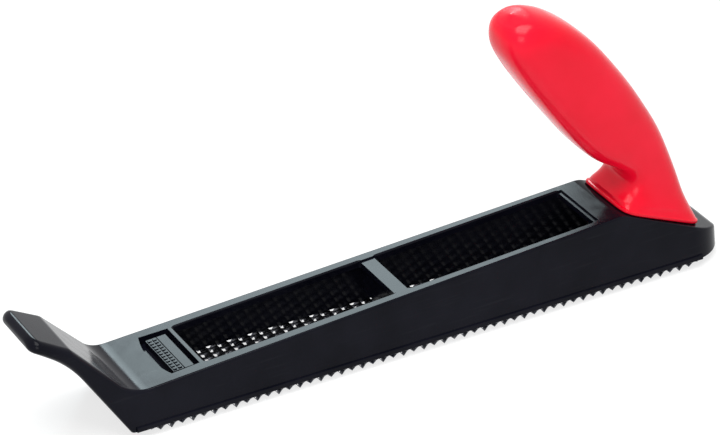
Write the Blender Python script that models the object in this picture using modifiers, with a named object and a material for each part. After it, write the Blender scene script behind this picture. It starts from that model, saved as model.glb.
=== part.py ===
"""Rasp plane for plasterboard: moulded body with a front horn, closed rear grip and a tensioned blade.

Metres, +Z up. The front horn points to -X and the grip stands at +X. Places along X are measured
from the middle of the blade and heights from the blade's underside; one empty carries every piece
and moves them so that the origin is below the middle of the whole tool, at the tooth tips.
"""

import math

import bmesh
import bpy
from mathutils import Matrix, Vector
from mathutils.geometry import delaunay_2d_cdt

# ---------------------------------------------------------------- driving dimensions
GAP = 0.0003  # clearance between two pieces that touch
RUN_GAP = 0.00015  # radial clearance of a shank in its hole
OVERLAP = 0.0015  # how far joined shapes reach into each other
THROUGH = 0.004  # how far a cutter runs past the wall it cuts

# blade
BLADE_SHEET = 0.0009
BLADE_WIDTH = 0.042
BLADE_FLAT_END = 0.1223  # from the middle to where the ends bend up
TOOTH_DROP = 0.0019
TOOTH_PITCH = 0.0091  # between teeth of one row; neighbouring rows are staggered by half of it
END_MARGIN = 0.0025  # plain sheet at least this long at each end
SIDE_MARGIN = 0.0030  # plain sheet at least this wide along each edge
ROW_SPACING = 0.00546
TOOTH_LENGTH = 0.0026
TOOTH_WIDTH = 0.0025
EDGE_TOOTH_BASE = 0.003
TAB_BEND = 0.0011
HOOK_REACH = 0.0050
TAB_CLEARANCE = 0.0005  # the hook over the pin
FORK_CLEARANCE = 0.0004  # the fork round the screw
FORK_ROOT = 0.0036

# body
WALL = 0.0026
BODY_BASE = BLADE_SHEET + GAP
BODY_OVERHANG = 0.0009  # how far the body stands out past the blade, at the blade's underside
SIDE_DRAFT = 0.15  # how much the half width loses for each unit of height
RIM_HEIGHT = 0.0240  # at the middle of the blade
RIM_SLOPE = 0.0596
HEEL_RUN = 0.0499  # length of the falling heel
HEEL_FALL = 0.422
HEEL_LENGTH = 0.0162  # past the end of the flat blade
HEEL_CORNER = 0.0175
HEEL_ROUND = 0.0075  # the edge between the heel and the rear face
HEEL_LEAN = 0.05
HEEL_WALL = 0.0050
TOE_LENGTH = 0.0080  # past the end of the flat blade
FRONT_CORNER = 0.005
FRONT_LEAN = math.radians(57.7)
FRONT_RUN = 0.0295  # straight length of the leaning front face
HORN_CURVE = 0.040  # radius that bends the front face forward under the horn
HORN_END_LEAN = math.radians(33)
HORN_END_RUN = 0.0075
NOSE_RADIUS = 0.0032
PADDLE_SLOPE = math.radians(30)
PADDLE_REACH = 0.0197  # from the front foot to the end of the paddle's slope
PADDLE_HEIGHT = 0.0403
RAMP_SLOPE = math.radians(47)
RAMP_KNEE_RADIUS = 0.006
SADDLE_RADIUS = 0.014
EDGE_ROUND = 0.0012
SHOE_PROUD = 0.0007  # the strip along the foot of each side wall
SHOE_HEIGHT = 0.0023
SHOE_REACH = 0.0015  # past the end of the flat blade

# recess under the horn, where the tension screw is reached
HORN_WALL = 0.0034
RECESS_SIDE = 0.0065
RECESS_FLOOR = 0.0026
WEB = 0.0024
WEB_BOTTOM = 0.0150

# openings in the top
NOSE_TOP = 0.0520
RIM_WIDTH = 0.0079  # from the foot's outside to an opening
RIM_THICKNESS = 0.0030
PARTITION_SETBACK = 0.0345  # from the front foot to the wall behind the label pocket
PARTITION = 0.0020
POCKET_LENGTH = 0.0109
POCKET_WALL_LEAN = 0.35
POCKET_DEPTH = 0.0035
POCKET_FLOOR = 0.0022
BAR_FRONT_X = -0.0134
BAR_REAR_X = -0.0075
BAR_RIB = 0.0022
BAR_RIB_BOTTOM = 0.0080
REAR_DECK = 0.0114  # from the rear opening to the heel

# blade tensioner in the toe
TOE_ROOM = 0.0021  # from the end of the flat blade to the toe wall
SCREW_HEIGHT = 0.0075
SCREW_RADIUS = 0.0020
SCREW_LENGTH = 0.0200
HEAD_RADIUS = 0.0040
HEAD_HEIGHT = 0.0026
WASHER_THICKNESS = 0.0008
WASHER_RADIUS = 0.0044
TOE_WALL = 0.0026
SLIDER_LENGTH = 0.0082
SLIDER_SIDE_ROOM = 0.0048
SLIDER_TOP = 0.0115
SLIDER_BOTTOM = 0.0019
NUT_SIDE = 0.0070
NUT_THICKNESS = 0.0032
GUIDE = 0.0016
TOE_SIDE = 0.0044  # from the foot's outside to the toe's hollow

# anchor pin in the heel
PIN_RADIUS = 0.0020
PIN_HEIGHT = 0.0066
RIB_INNER = 0.0120
RIB_THICKNESS = 0.0025
RIB_BOTTOM = 0.0022
RIB_LENGTH = 0.0130

# grip
GRIP_SETBACK = 0.0008  # from the start of the heel to the grip
GRIP_REAR_SETBACK = 0.0120
GRIP_SIDE = 0.0047  # from the foot's outside to the grip's foot
GRIP_SHELL = 0.0034
GRIP_SCREW_SETBACKS = (0.0071, 0.0196)
GRIP_SCREW_RADIUS = 0.0021
GRIP_SCREW_LENGTH = 0.0190
GRIP_BOSS_RADIUS = 0.0046
GRIP_BOSS_HEIGHT = 0.0160

# Stations of the grip above its foot: front point, back point (x, height), half width, squareness.
# They are drawn for a foot whose front stands at GRIP_DRAWN_AT and move with the real one.
GRIP_DRAWN_AT = Vector((0.0894, 0.028942960))
GRIP_STATIONS = (
    ((0.0905, 0.0325), (0.1253, 0.0200), 0.0165, 4.0),
    ((0.0938, 0.0355), (0.1222, 0.0275), 0.0150, 3.6),
    ((0.0955, 0.0390), (0.1190, 0.0375), 0.0141, 3.3),
    ((0.0940, 0.0427), (0.1152, 0.0480), 0.0139, 3.1),
    ((0.0888, 0.0463), (0.1106, 0.0592), 0.0140, 3.0),
    ((0.0815, 0.0512), (0.1046, 0.0700), 0.0143, 3.0),
    ((0.0727, 0.0606), (0.0970, 0.0820), 0.0146, 3.0),
    ((0.0625, 0.0737), (0.0885, 0.0937), 0.0147, 3.0),
    ((0.0526, 0.0873), (0.0800, 0.1040), 0.0147, 3.0),
    ((0.0452, 0.0984), (0.0716, 0.1120), 0.0146, 2.9),
    ((0.0406, 0.1072), (0.0636, 0.1178), 0.0138, 2.7),
    ((0.0397, 0.1142), (0.0571, 0.1209), 0.0117, 2.4),
    ((0.0412, 0.1186), (0.0521, 0.1224), 0.0078, 2.2),
)
GRIP_CROWN = Vector((0.0462, 0.1222))
GRIP_SIDES = 24
CORE_STATIONS = slice(0, 11)

COLOURS = {
    "black_plastic": ((0.012, 0.013, 0.017, 1.0), 0.30, 0.0),
    "red_plastic": ((0.86, 0.015, 0.045, 1.0), 0.20, 0.0),
    "blade_steel": ((0.16, 0.16, 0.17, 1.0), 0.35, 1.0),
    "zinc_steel": ((0.62, 0.62, 0.60, 1.0), 0.30, 1.0),
    "cast_zinc": ((0.45, 0.45, 0.46, 1.0), 0.45, 1.0),
}


# ---------------------------------------------------------------- places that follow from the sizes
TEETH_ALONG = 2 * int((BLADE_FLAT_END - END_MARGIN) / (TOOTH_PITCH / 2)) + 1  # on one edge
ROWS_EACH_SIDE = int((BLADE_WIDTH / 2 - SIDE_MARGIN) / ROW_SPACING)
TAB_RISE = PIN_HEIGHT + PIN_RADIUS + GAP + BLADE_SHEET + TAB_CLEARANCE
FORK_SLOT = 2 * (SCREW_RADIUS + FORK_CLEARANCE)
FOOT_HALF_WIDTH = BLADE_WIDTH / 2 + BODY_OVERHANG
FRONT_FOOT_X = -BLADE_FLAT_END - TOE_LENGTH
HEEL_X = BLADE_FLAT_END + HEEL_LENGTH
RIM_KNEE_X = HEEL_X - HEEL_RUN
PADDLE_END = Vector((FRONT_FOOT_X - PADDLE_REACH, PADDLE_HEIGHT))
NOSE_REACH = PADDLE_END.x - HORN_END_RUN * 3
SHOE_X = BLADE_FLAT_END + SHOE_REACH
OPENING_HALF = FOOT_HALF_WIDTH - RIM_WIDTH
PARTITION_X = FRONT_FOOT_X + PARTITION_SETBACK
POCKET_FRONT_X = PARTITION_X - PARTITION - POCKET_LENGTH
OPENING_REAR_X = RIM_KNEE_X - REAR_DECK
TOE_WALL_X = -BLADE_FLAT_END - TOE_ROOM
TOE_HALF = FOOT_HALF_WIDTH - TOE_SIDE
SLIDER_HALF = TOE_HALF - SLIDER_SIDE_ROOM
GRIP_FRONT_X = RIM_KNEE_X + GRIP_SETBACK
GRIP_REAR_X = HEEL_X - GRIP_REAR_SETBACK
GRIP_FOOT_HALF = FOOT_HALF_WIDTH - GRIP_SIDE
GRIP_SCREW_X = tuple(GRIP_FRONT_X + setback for setback in GRIP_SCREW_SETBACKS)


# ---------------------------------------------------------------- heights and widths
def side_half(height):
    """Outside half width of the body at a height above the blade's underside."""
    return FOOT_HALF_WIDTH - SIDE_DRAFT * height


def rim_height(x):
    return RIM_HEIGHT + RIM_SLOPE * x


def heel_height(x):
    return rim_height(RIM_KNEE_X) - HEEL_FALL * (x - RIM_KNEE_X)


HEEL_NORMAL = Vector((HEEL_FALL, 0, 1)).normalized()
HEEL_TILT = math.atan(HEEL_FALL)


# ---------------------------------------------------------------- scene and materials
def clear_scene():
    for obj in list(bpy.data.objects):
        bpy.data.objects.remove(obj)


def make_collection(name):
    collection = bpy.data.collections.new(name)
    bpy.context.scene.collection.children.link(collection)
    return collection


def make_material(name):
    colour, roughness, metallic = COLOURS[name]
    material = bpy.data.materials.new(name)
    material.use_nodes = True
    shader = material.node_tree.nodes["Principled BSDF"]
    shader.inputs["Base Color"].default_value = colour
    shader.inputs["Roughness"].default_value = roughness
    shader.inputs["Metallic"].default_value = metallic
    material.diffuse_color = colour
    return material


clear_scene()
PARTS = make_collection("plasterboard_rasp_plane")
CUTTERS = make_collection("cutters")
MATERIALS = {name: make_material(name) for name in COLOURS}


def place(obj, carrier, material=None):
    """Puts an object under the carrier empty, as a part if it has a material and as a cutter if not."""
    obj.parent = carrier
    if material:
        PARTS.objects.link(obj)
        obj.data.materials.clear()
        obj.data.materials.append(MATERIALS[material])
    else:
        CUTTERS.objects.link(obj)
        obj.hide_render = True
        obj.display_type = "WIRE"
    return obj


def smooth(obj, angle=35):
    obj.data.shade_smooth()
    obj.data.set_sharp_from_angle(angle=math.radians(angle))


# ---------------------------------------------------------------- shapes
def mesh_from(bm, name):
    bmesh.ops.recalc_face_normals(bm, faces=bm.faces)
    mesh = bpy.data.meshes.new(name)
    bm.to_mesh(mesh)
    bm.free()
    return bpy.data.objects.new(name, mesh)


def box(name, low, high):
    """A box between two corners."""
    bm = bmesh.new()
    size = [h - l for l, h in zip(low, high)]
    middle = [(h + l) / 2 for l, h in zip(low, high)]
    bmesh.ops.create_cube(bm, size=1, matrix=Matrix.Translation(middle) @ Matrix.Diagonal((*size, 1)))
    return mesh_from(bm, name)


def rod(name, start, end, radius, sides=24, end_radius=None):
    """A cylinder or a cone from start to end."""
    start, end = Vector(start), Vector(end)
    axis = end - start
    turn = axis.to_track_quat("Z", "Y").to_matrix().to_4x4()
    bm = bmesh.new()
    bmesh.ops.create_cone(
        bm,
        cap_ends=True,
        segments=sides,
        radius1=radius,
        radius2=radius if end_radius is None else end_radius,
        depth=axis.length,
        matrix=Matrix.Translation((start + end) / 2) @ turn,
    )
    return mesh_from(bm, name)


def prism(name, outline, half_depth):
    """A flat outline in X and Z, made half_depth thick each way along Y."""
    data = bpy.data.curves.new(name, "CURVE")
    data.dimensions = "2D"
    data.fill_mode = "BOTH"
    data.extrude = half_depth
    spline = data.splines.new("POLY")
    spline.points.add(len(outline) - 1)
    for point, (x, z) in zip(spline.points, outline):
        point.co = (x, z, 0, 1)
    spline.use_cyclic_u = True
    curve = bpy.data.objects.new(name + "_curve", data)
    CUTTERS.objects.link(curve)
    bpy.context.view_layer.update()
    graph = bpy.context.evaluated_depsgraph_get()
    mesh = bpy.data.meshes.new_from_object(curve.evaluated_get(graph))
    bpy.data.objects.remove(curve)
    mesh.transform(Matrix.Rotation(math.radians(90), 4, "X"))
    bm = bmesh.new()
    bm.from_mesh(mesh)
    bmesh.ops.remove_doubles(bm, verts=bm.verts, dist=1e-6)
    bpy.data.meshes.remove(mesh)
    return mesh_from(bm, name)


def loft(name, rings, crown=None):
    """A skin through rings of equal length, closed by a flat face, or at the end by a fan to a crown."""
    bm = bmesh.new()
    rows = [[bm.verts.new(point) for point in ring] for ring in rings]
    sides = len(rows[0])
    for lower, upper in zip(rows, rows[1:]):
        for i in range(sides):
            j = (i + 1) % sides
            bm.faces.new((lower[i], lower[j], upper[j], upper[i]))
    bm.faces.new(reversed(rows[0]))
    if crown is None:
        bm.faces.new(rows[-1])
    else:
        top = bm.verts.new(crown)
        for i in range(sides):
            bm.faces.new((rows[-1][i], rows[-1][(i + 1) % sides], top))
    return mesh_from(bm, name)


def merged(name, objects):
    """Several loose solids in one mesh."""
    bm = bmesh.new()
    for obj in objects:
        bm.from_mesh(obj.data)
        bpy.data.objects.remove(obj)
    return mesh_from(bm, name)


def arc(centre, radius, start, end, steps):
    """Points (x, z) on an arc, with angles in radians."""
    turn = (end - start) / steps
    return [
        centre + Vector((math.cos(start + i * turn), math.sin(start + i * turn))) * radius
        for i in range(steps + 1)
    ]


def boolean(obj, other, operation="DIFFERENCE"):
    modifier = obj.modifiers.new(f"{operation.lower()}_{other.name}", "BOOLEAN")
    modifier.operation = operation
    modifier.object = other
    modifier.solver = "EXACT"


# ---------------------------------------------------------------- body outlines
def front_face():
    """Points (x, z) up the leaning front face and round under the horn to its nose."""
    foot = Vector((FRONT_FOOT_X, BODY_BASE))
    along = Vector((-math.cos(FRONT_LEAN), math.sin(FRONT_LEAN)))
    bend = foot + along * FRONT_RUN
    centre = bend - Vector((math.sin(FRONT_LEAN), math.cos(FRONT_LEAN))) * HORN_CURVE
    start = math.pi / 2 - FRONT_LEAN
    curve = arc(centre, HORN_CURVE, start, math.pi / 2 - HORN_END_LEAN, 5)
    run = Vector((-math.cos(HORN_END_LEAN), math.sin(HORN_END_LEAN))) * HORN_END_RUN
    chin = curve[-1] + run
    nose_centre = chin + Vector((math.sin(HORN_END_LEAN), math.cos(HORN_END_LEAN))) * NOSE_RADIUS
    first = -math.pi / 2 - HORN_END_LEAN
    nose = arc(nose_centre, NOSE_RADIUS, first, -math.radians(250), 5)
    return [foot, *curve, *nose]


def plan_ring(front, rear, half, height, front_corner, rear_corner):
    """One level of the body: a rectangle in plan with round corners."""
    corners = (
        (rear - rear_corner, half - rear_corner, rear_corner, 0, 7),
        (front + front_corner, half - front_corner, front_corner, 90, 4),
        (front + front_corner, front_corner - half, front_corner, 180, 4),
        (rear - rear_corner, rear_corner - half, rear_corner, 270, 7),
    )
    points = []
    for x, y, radius, start, steps in corners:
        turn = arc(Vector((x, y)), radius, math.radians(start), math.radians(start + 90), steps)
        points += [(p.x, p.y, height) for p in turn]
    return points


def body_level(front, height, side_wall=0.0, rear_wall=0.0, front_corner=FRONT_CORNER):
    """One level of the body's outside, or of a hollow that leaves the given walls."""
    rear = HEEL_X - HEEL_LEAN * height - rear_wall
    half = side_half(height) - side_wall
    corner = min(HEEL_CORNER - side_wall, half * 0.9)
    return plan_ring(front, rear, half, height, front_corner, corner)


def fillet(before, corner, after, radius, steps):
    """Points (x, z) of an arc that rounds a corner between two directions."""
    a = (before - corner).normalized()
    b = (after - corner).normalized()
    half = a.angle(b) / 2
    centre = corner + (a + b).normalized() * (radius / math.sin(half))
    start = corner + a * (radius / math.tan(half)) - centre
    end = corner + b * (radius / math.tan(half)) - centre
    first = math.atan2(start.y, start.x)
    sweep = (math.atan2(end.y, end.x) - first + math.pi) % (2 * math.pi) - math.pi
    return arc(centre, radius, first, first + sweep, steps)


def top_line():
    """Points (x, z) of the body's upper surface, from in front of the horn to behind the rim."""
    paddle = Vector((-math.cos(PADDLE_SLOPE), math.sin(PADDLE_SLOPE)))
    start = PADDLE_END + paddle * 0.03
    fall = math.tan(RAMP_SLOPE)
    saddle_x = (PADDLE_END.y + fall * PADDLE_END.x - RIM_HEIGHT) / (RIM_SLOPE + fall)
    saddle = Vector((saddle_x, rim_height(saddle_x)))
    behind = Vector((HEEL_X + THROUGH, rim_height(HEEL_X + THROUGH)))
    return [
        start,
        *fillet(start, PADDLE_END, saddle, RAMP_KNEE_RADIUS, 2),
        *fillet(PADDLE_END, saddle, behind, SADDLE_RADIUS, 5),
        behind,
    ]


def make_below_heel():
    """Everything below the sloping heel, with the heel's rear edge rounded."""
    half = side_half(0)
    rear = HEEL_X + HEEL_ROUND / 2
    rings = [plan_ring(NOSE_REACH, rear, half, -2 * THROUGH, FRONT_CORNER, HEEL_CORNER)]
    for inset, lift in ((-0.1, -1.2), (0.13, -0.5), (0.5, -0.13), (1.0, 0.0)):
        rear = HEEL_X - inset * HEEL_ROUND
        ring = plan_ring(NOSE_REACH, rear, half, 0, FRONT_CORNER, HEEL_CORNER)
        rings.append([(x, y, heel_height(x) + lift * HEEL_ROUND) for x, y, _ in ring])
    return loft("below_heel", rings)


def roof_line(thickness):
    """Points (x, z) that lie thickness below the top surface, from the partition to the heel."""
    low = rim_height(PARTITION_X) - thickness
    knee = rim_height(RIM_KNEE_X) - thickness
    return [
        (PARTITION_X, low),
        (RIM_KNEE_X, knee),
        (HEEL_X, heel_height(HEEL_X) - thickness),
    ]


# ---------------------------------------------------------------- body
def make_main_hollow(carrier):
    """The chip well and the hollow heel: parallel to the outside, under the rim and the heel."""
    levels = (-THROUGH, RIM_HEIGHT + THROUGH * 2)
    rings = [body_level(PARTITION_X, z, WALL, HEEL_WALL, WALL / 2) for z in levels]
    hollow = loft("main_hollow", rings)
    place(hollow, carrier)
    roof = roof_line(RIM_THICKNESS)
    under = [(PARTITION_X - THROUGH, roof[0][1]), *roof[1:], (HEEL_X, -2 * THROUGH)]
    under.append((PARTITION_X - THROUGH, -2 * THROUGH))
    below_roof = place(prism("below_roof", under, FOOT_HALF_WIDTH * 1.2), carrier)
    boolean(hollow, below_roof, "INTERSECT")
    return hollow


def make_horn_recess(carrier):
    """The hollow under the horn, open at the leaning front face, with a web left standing in its middle."""
    wall_x = TOE_WALL_X - TOE_WALL
    low, high = RECESS_FLOOR, NOSE_TOP
    rings = []
    for height in (low, high):
        half = side_half(height) - RECESS_SIDE
        corners = ((wall_x, half), (NOSE_REACH, half), (NOSE_REACH, -half), (wall_x, -half))
        rings.append([(x, y, height) for x, y in corners])
    recess = place(loft("horn_recess", rings), carrier)
    drop = Vector((math.sin(RAMP_SLOPE), math.cos(RAMP_SLOPE))) * -HORN_WALL
    ramp = PADDLE_END + drop
    top_x = ramp.x + (ramp.y - WEB_BOTTOM) / math.tan(RAMP_SLOPE)
    paddle = Vector((-math.cos(PADDLE_SLOPE), math.sin(PADDLE_SLOPE)))
    chin = front_face()[6] + paddle * -HORN_WALL
    outline = [
        (wall_x, low),
        (wall_x, rim_height(wall_x) - HORN_WALL),
        (top_x, rim_height(wall_x) - HORN_WALL),
        ramp,
        chin,
        (chin.x, low),
    ]
    boolean(recess, place(prism("recess_side", outline, FOOT_HALF_WIDTH), carrier), "INTERSECT")
    web = box("recess_web", (NOSE_REACH, -WEB / 2, WEB_BOTTOM), (-wall_x, WEB / 2, NOSE_TOP))
    boolean(recess, place(web, carrier))
    return recess


def make_openings():
    """The two openings over the blade, the label pocket with its leaning front wall, and the toe."""
    top = rim_height(OPENING_REAR_X) + THROUGH
    half = OPENING_HALF
    front = box("front_opening", (PARTITION_X, -half, SLIDER_TOP), (BAR_FRONT_X, half, top))
    rear = box("rear_opening", (BAR_REAR_X, -half, SLIDER_TOP), (OPENING_REAR_X, half, top))
    floor_front = rim_height(POCKET_FRONT_X) - POCKET_DEPTH
    pocket_rear = PARTITION_X - PARTITION
    floor_rear = rim_height(pocket_rear) - POCKET_DEPTH
    outline = [
        (POCKET_FRONT_X, floor_front),
        (pocket_rear, floor_rear),
        (pocket_rear, top),
        (POCKET_FRONT_X - POCKET_WALL_LEAN * (top - floor_front), top),
    ]
    pocket = prism("label_pocket", outline, half)
    toe_top = rim_height(POCKET_FRONT_X) - POCKET_DEPTH - POCKET_FLOOR
    toe = box("toe_hollow", (TOE_WALL_X, -TOE_HALF, -THROUGH), (pocket_rear, TOE_HALF, toe_top))
    return merged("openings", [front, rear, pocket, toe])


def make_ribs():
    """Cross rib under the bar, slider guides in the toe, and the two ribs that hold the anchor pin."""
    middle = (BAR_FRONT_X + BAR_REAR_X) / 2
    rib_half = side_half(BAR_RIB_BOTTOM) - WALL + OVERLAP / 2
    ribs = [
        box(
            "bar_rib",
            (middle - BAR_RIB / 2, -rib_half + OVERLAP, BAR_RIB_BOTTOM),
            (middle + BAR_RIB / 2, rib_half - OVERLAP, rim_height(middle) - RIM_THICKNESS / 2),
        )
    ]
    guide_start = SLIDER_HALF + GAP
    guide_top = rim_height(POCKET_FRONT_X) - POCKET_DEPTH - POCKET_FLOOR / 2
    for side in (-1, 1):
        near, far = sorted((side * guide_start, side * (guide_start + GUIDE)))
        ribs.append(
            box(
                "guide",
                (TOE_WALL_X - OVERLAP, near, SLIDER_BOTTOM - GAP),
                (PARTITION_X - PARTITION / 2, far, guide_top),
            )
        )
        pin_x = pin_centre_x()
        front = pin_x - RIB_LENGTH / 2
        rear = pin_x + RIB_LENGTH / 2
        outline = [
            (front, RIB_BOTTOM),
            (rear, RIB_BOTTOM),
            (rear, heel_height(rear) - RIM_THICKNESS / 2),
            (front, heel_height(front) - RIM_THICKNESS / 2),
        ]
        rib = prism("pin_rib", outline, RIB_THICKNESS / 2)
        rib.data.transform(Matrix.Translation((0, side * (RIB_INNER + RIB_THICKNESS / 2), 0)))
        ribs.append(rib)
    return merged("ribs", ribs)


def make_body_holes():
    """Pin saddles, the tension screw's hole in the toe wall, and the grip screws' holes."""
    pin_x = pin_centre_x()
    saddle = PIN_RADIUS + RUN_GAP
    width = RIB_INNER + RIB_THICKNESS + OVERLAP
    slot = box("pin_slot", (pin_x - saddle, -width, -THROUGH), (pin_x + saddle, width, PIN_HEIGHT))
    round_end = rod("pin_seat", (pin_x, -width, PIN_HEIGHT), (pin_x, width, PIN_HEIGHT), saddle)
    cuts = [
        rod(
            "screw_hole",
            (TOE_WALL_X - TOE_WALL - THROUGH, 0, SCREW_HEIGHT),
            (TOE_WALL_X + THROUGH, 0, SCREW_HEIGHT),
            SCREW_RADIUS + RUN_GAP,
        )
    ]
    for x in GRIP_SCREW_X:
        seat = Vector((x, 0, heel_height(x)))
        cuts.append(
            rod(
                "grip_screw_hole",
                seat - HEEL_NORMAL * (RIM_THICKNESS + THROUGH / 2),
                seat + HEEL_NORMAL * THROUGH,
                GRIP_SCREW_RADIUS + RUN_GAP,
                20,
            )
        )
    return slot, round_end, merged("screw_holes", cuts)


def make_shoe(side):
    """The strip that stands proud along the foot of a side wall."""
    height = BODY_BASE + SHOE_HEIGHT
    inner = side_half(height) - OVERLAP / 2
    outer = side_half(BODY_BASE) + SHOE_PROUD
    section = [
        (side * inner, BODY_BASE),
        (side * outer, BODY_BASE),
        (side * outer, height - SHOE_PROUD / 2),
        (side * inner, height),
    ]
    rings = [[(x, y, z) for y, z in section] for x in (-SHOE_X, SHOE_X)]
    return loft("shoe", rings)


def make_body(carrier):
    body = loft("body_shell", [body_level(p.x, p.y) for p in front_face()])
    place(body, carrier, "black_plastic")
    line = top_line()
    sky = PADDLE_END.y * 2
    above = [*line, Vector((line[-1].x, sky)), Vector((line[0].x, sky))]
    boolean(body, place(prism("above_top", above, FOOT_HALF_WIDTH * 1.2), carrier))
    boolean(body, place(make_below_heel(), carrier), "INTERSECT")
    bevel = body.modifiers.new("round_edges", "BEVEL")
    bevel.width = EDGE_ROUND
    bevel.segments = 1
    bevel.limit_method = "ANGLE"
    bevel.angle_limit = math.radians(38)
    shoes = place(merged("shoes", [make_shoe(-1), make_shoe(1)]), carrier)
    boolean(body, shoes, "UNION")
    boolean(body, make_main_hollow(carrier))
    boolean(body, make_horn_recess(carrier))
    boolean(body, place(make_openings(), carrier))
    boolean(body, place(make_ribs(), carrier), "UNION")
    for cutter in make_body_holes():
        boolean(body, place(cutter, carrier))
    smooth(body)
    return body


# ---------------------------------------------------------------- blade
def tab_half():
    return RIB_INNER - GAP * 3


def blade_teeth():
    """(x, y) of every inner tooth: staggered rows across the blade."""
    half_pitch = TOOTH_PITCH / 2
    last = TEETH_ALONG - 1
    for row in range(-ROWS_EACH_SIDE, ROWS_EACH_SIDE + 1):
        for i in range(1 + row % 2, last, 2):
            yield (i - last / 2) * half_pitch, row * ROW_SPACING


def tooth_base(x, y):
    """A tooth's triangular hole in the sheet: its front corner, then the edge that the tooth hangs on."""
    return [
        (x - TOOTH_LENGTH / 2, y),
        (x + TOOTH_LENGTH / 2, y - TOOTH_WIDTH / 2),
        (x + TOOTH_LENGTH / 2, y + TOOTH_WIDTH / 2),
    ]


def edge_teeth():
    """Root triangles of the teeth along both edges, and the x of their tips."""
    half = BLADE_WIDTH / 2
    for i in range(TEETH_ALONG):
        x = (i - (TEETH_ALONG - 1) / 2) * TOOTH_PITCH / 2
        front, back = x - EDGE_TOOTH_BASE / 4, x + EDGE_TOOTH_BASE * 3 / 4
        for side in (-1, 1):
            inner = (x + EDGE_TOOTH_BASE / 4, side * (half - BLADE_SHEET))
            yield [inner, (front, side * half), (back, side * half)], x - EDGE_TOOTH_BASE / 3


def sheet_outline(tab_ys):
    """The flat sheet's outline, counter-clockwise, with the points where edge teeth and tabs join it."""
    half = BLADE_WIDTH / 2
    edge = sorted(x for root, _ in edge_teeth() for x, y in root if y == half)
    end_ys = [-half, *tab_ys, half]
    rear = [(BLADE_FLAT_END, y) for y in end_ys]
    near = [(x, -half) for x in edge]
    far = [(x, half) for x in reversed(edge)]
    front = [(-x, -y) for x, y in rear]
    return [*near, *rear, *far, *front]


def make_sheet(bm, tab_ys):
    """The flat sheet with its holes and teeth. Returns a lookup of the corners at both heights."""
    outline = sheet_outline(tab_ys)
    holes = [tooth_base(x, y) for x, y in blade_teeth()]
    edges = list(edge_teeth())
    roots = [root for root, _ in edges]
    flat, bounds = [], []
    for loop in (outline, *holes, *roots):
        first = len(flat)
        flat += [Vector(point) for point in loop]
        bounds += [(first + i, first + (i + 1) % len(loop)) for i in range(len(loop))]
    points, _, faces, origin, *_ = delaunay_2d_cdt(flat, bounds, [], 1, 1e-7)
    levels = [[bm.verts.new((p.x, p.y, z)) for p in points] for z in (0, BLADE_SHEET)]
    below, above = levels
    where = {(round(p.x, 6), round(p.y, 6)): i for i, p in enumerate(points)}

    def index(point):
        return where[(round(point[0], 6), round(point[1], 6))]

    hole_loops = [[index(point) for point in hole] for hole in holes]
    root_loops = [[index(point) for point in root] for root in roots]
    hole_faces = {frozenset(loop) for loop in hole_loops}
    root_faces = {frozenset(loop) for loop in root_loops}
    for face in faces:
        corners = frozenset(face)
        if corners in hole_faces:
            continue
        bm.faces.new([above[i] for i in face])
        if corners not in root_faces:
            bm.faces.new([below[i] for i in reversed(face)])
    for (x, y), (front, a, b) in zip(blade_teeth(), hole_loops):
        tip = bm.verts.new((x - TOOTH_LENGTH / 4, y, -TOOTH_DROP))
        for i, j in ((front, a), (b, front)):
            bm.faces.new((below[i], below[j], above[j], above[i]))
        bm.faces.new((above[a], above[b], tip))
        bm.faces.new((below[b], below[a], tip))
        bm.faces.new((above[b], below[b], tip))
        bm.faces.new((below[a], above[a], tip))
    for (root, tip_x), (inner, a, b) in zip(edges, root_loops):
        tip = bm.verts.new((tip_x, root[1][1], -TOOTH_DROP))
        for i, j in ((inner, a), (a, b), (b, inner)):
            bm.faces.new((below[i], below[j], tip))
    ring = [index(point) for point in outline]
    tab_edges = {
        frozenset((index((x, a)), index((x, b))))
        for x in (-BLADE_FLAT_END, BLADE_FLAT_END)
        for a, b in zip(tab_ys, tab_ys[1:])
    }
    for i, j in zip(ring, [*ring[1:], ring[0]]):
        if frozenset((i, j)) not in tab_edges:
            bm.faces.new((below[i], below[j], above[j], above[i]))
    return lambda x, y: (below[index((x, y))], above[index((x, y))])


def add_tab(bm, corner, end, path, ys, counts):
    """Bends the sheet on from its end.

    path has (outer, inner) pairs of (x, z), and counts says how many of them each strip takes.
    """
    columns = []
    for y in ys:
        column = [corner(end * BLADE_FLAT_END, y)]
        column += [tuple(bm.verts.new((x, y, z)) for x, z in pair) for pair in path]
        columns.append(column)
    for (left, right), count in zip(zip(columns, columns[1:]), counts):
        for k in range(count):
            for side in (0, 1):
                corners = (left[k][side], right[k][side], right[k + 1][side], left[k + 1][side])
                bm.faces.new(corners)
        bm.faces.new((left[count][0], right[count][0], right[count][1], left[count][1]))
    reach = [0, *counts, 0]
    for column, before, after in zip(columns, reach, reach[1:]):
        for k in range(min(before, after), max(before, after)):
            bm.faces.new((column[k][0], column[k + 1][0], column[k + 1][1], column[k][1]))
    for column in columns:
        for pair in column:
            for vert in pair:
                if not vert.link_faces:
                    bm.verts.remove(vert)


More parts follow.
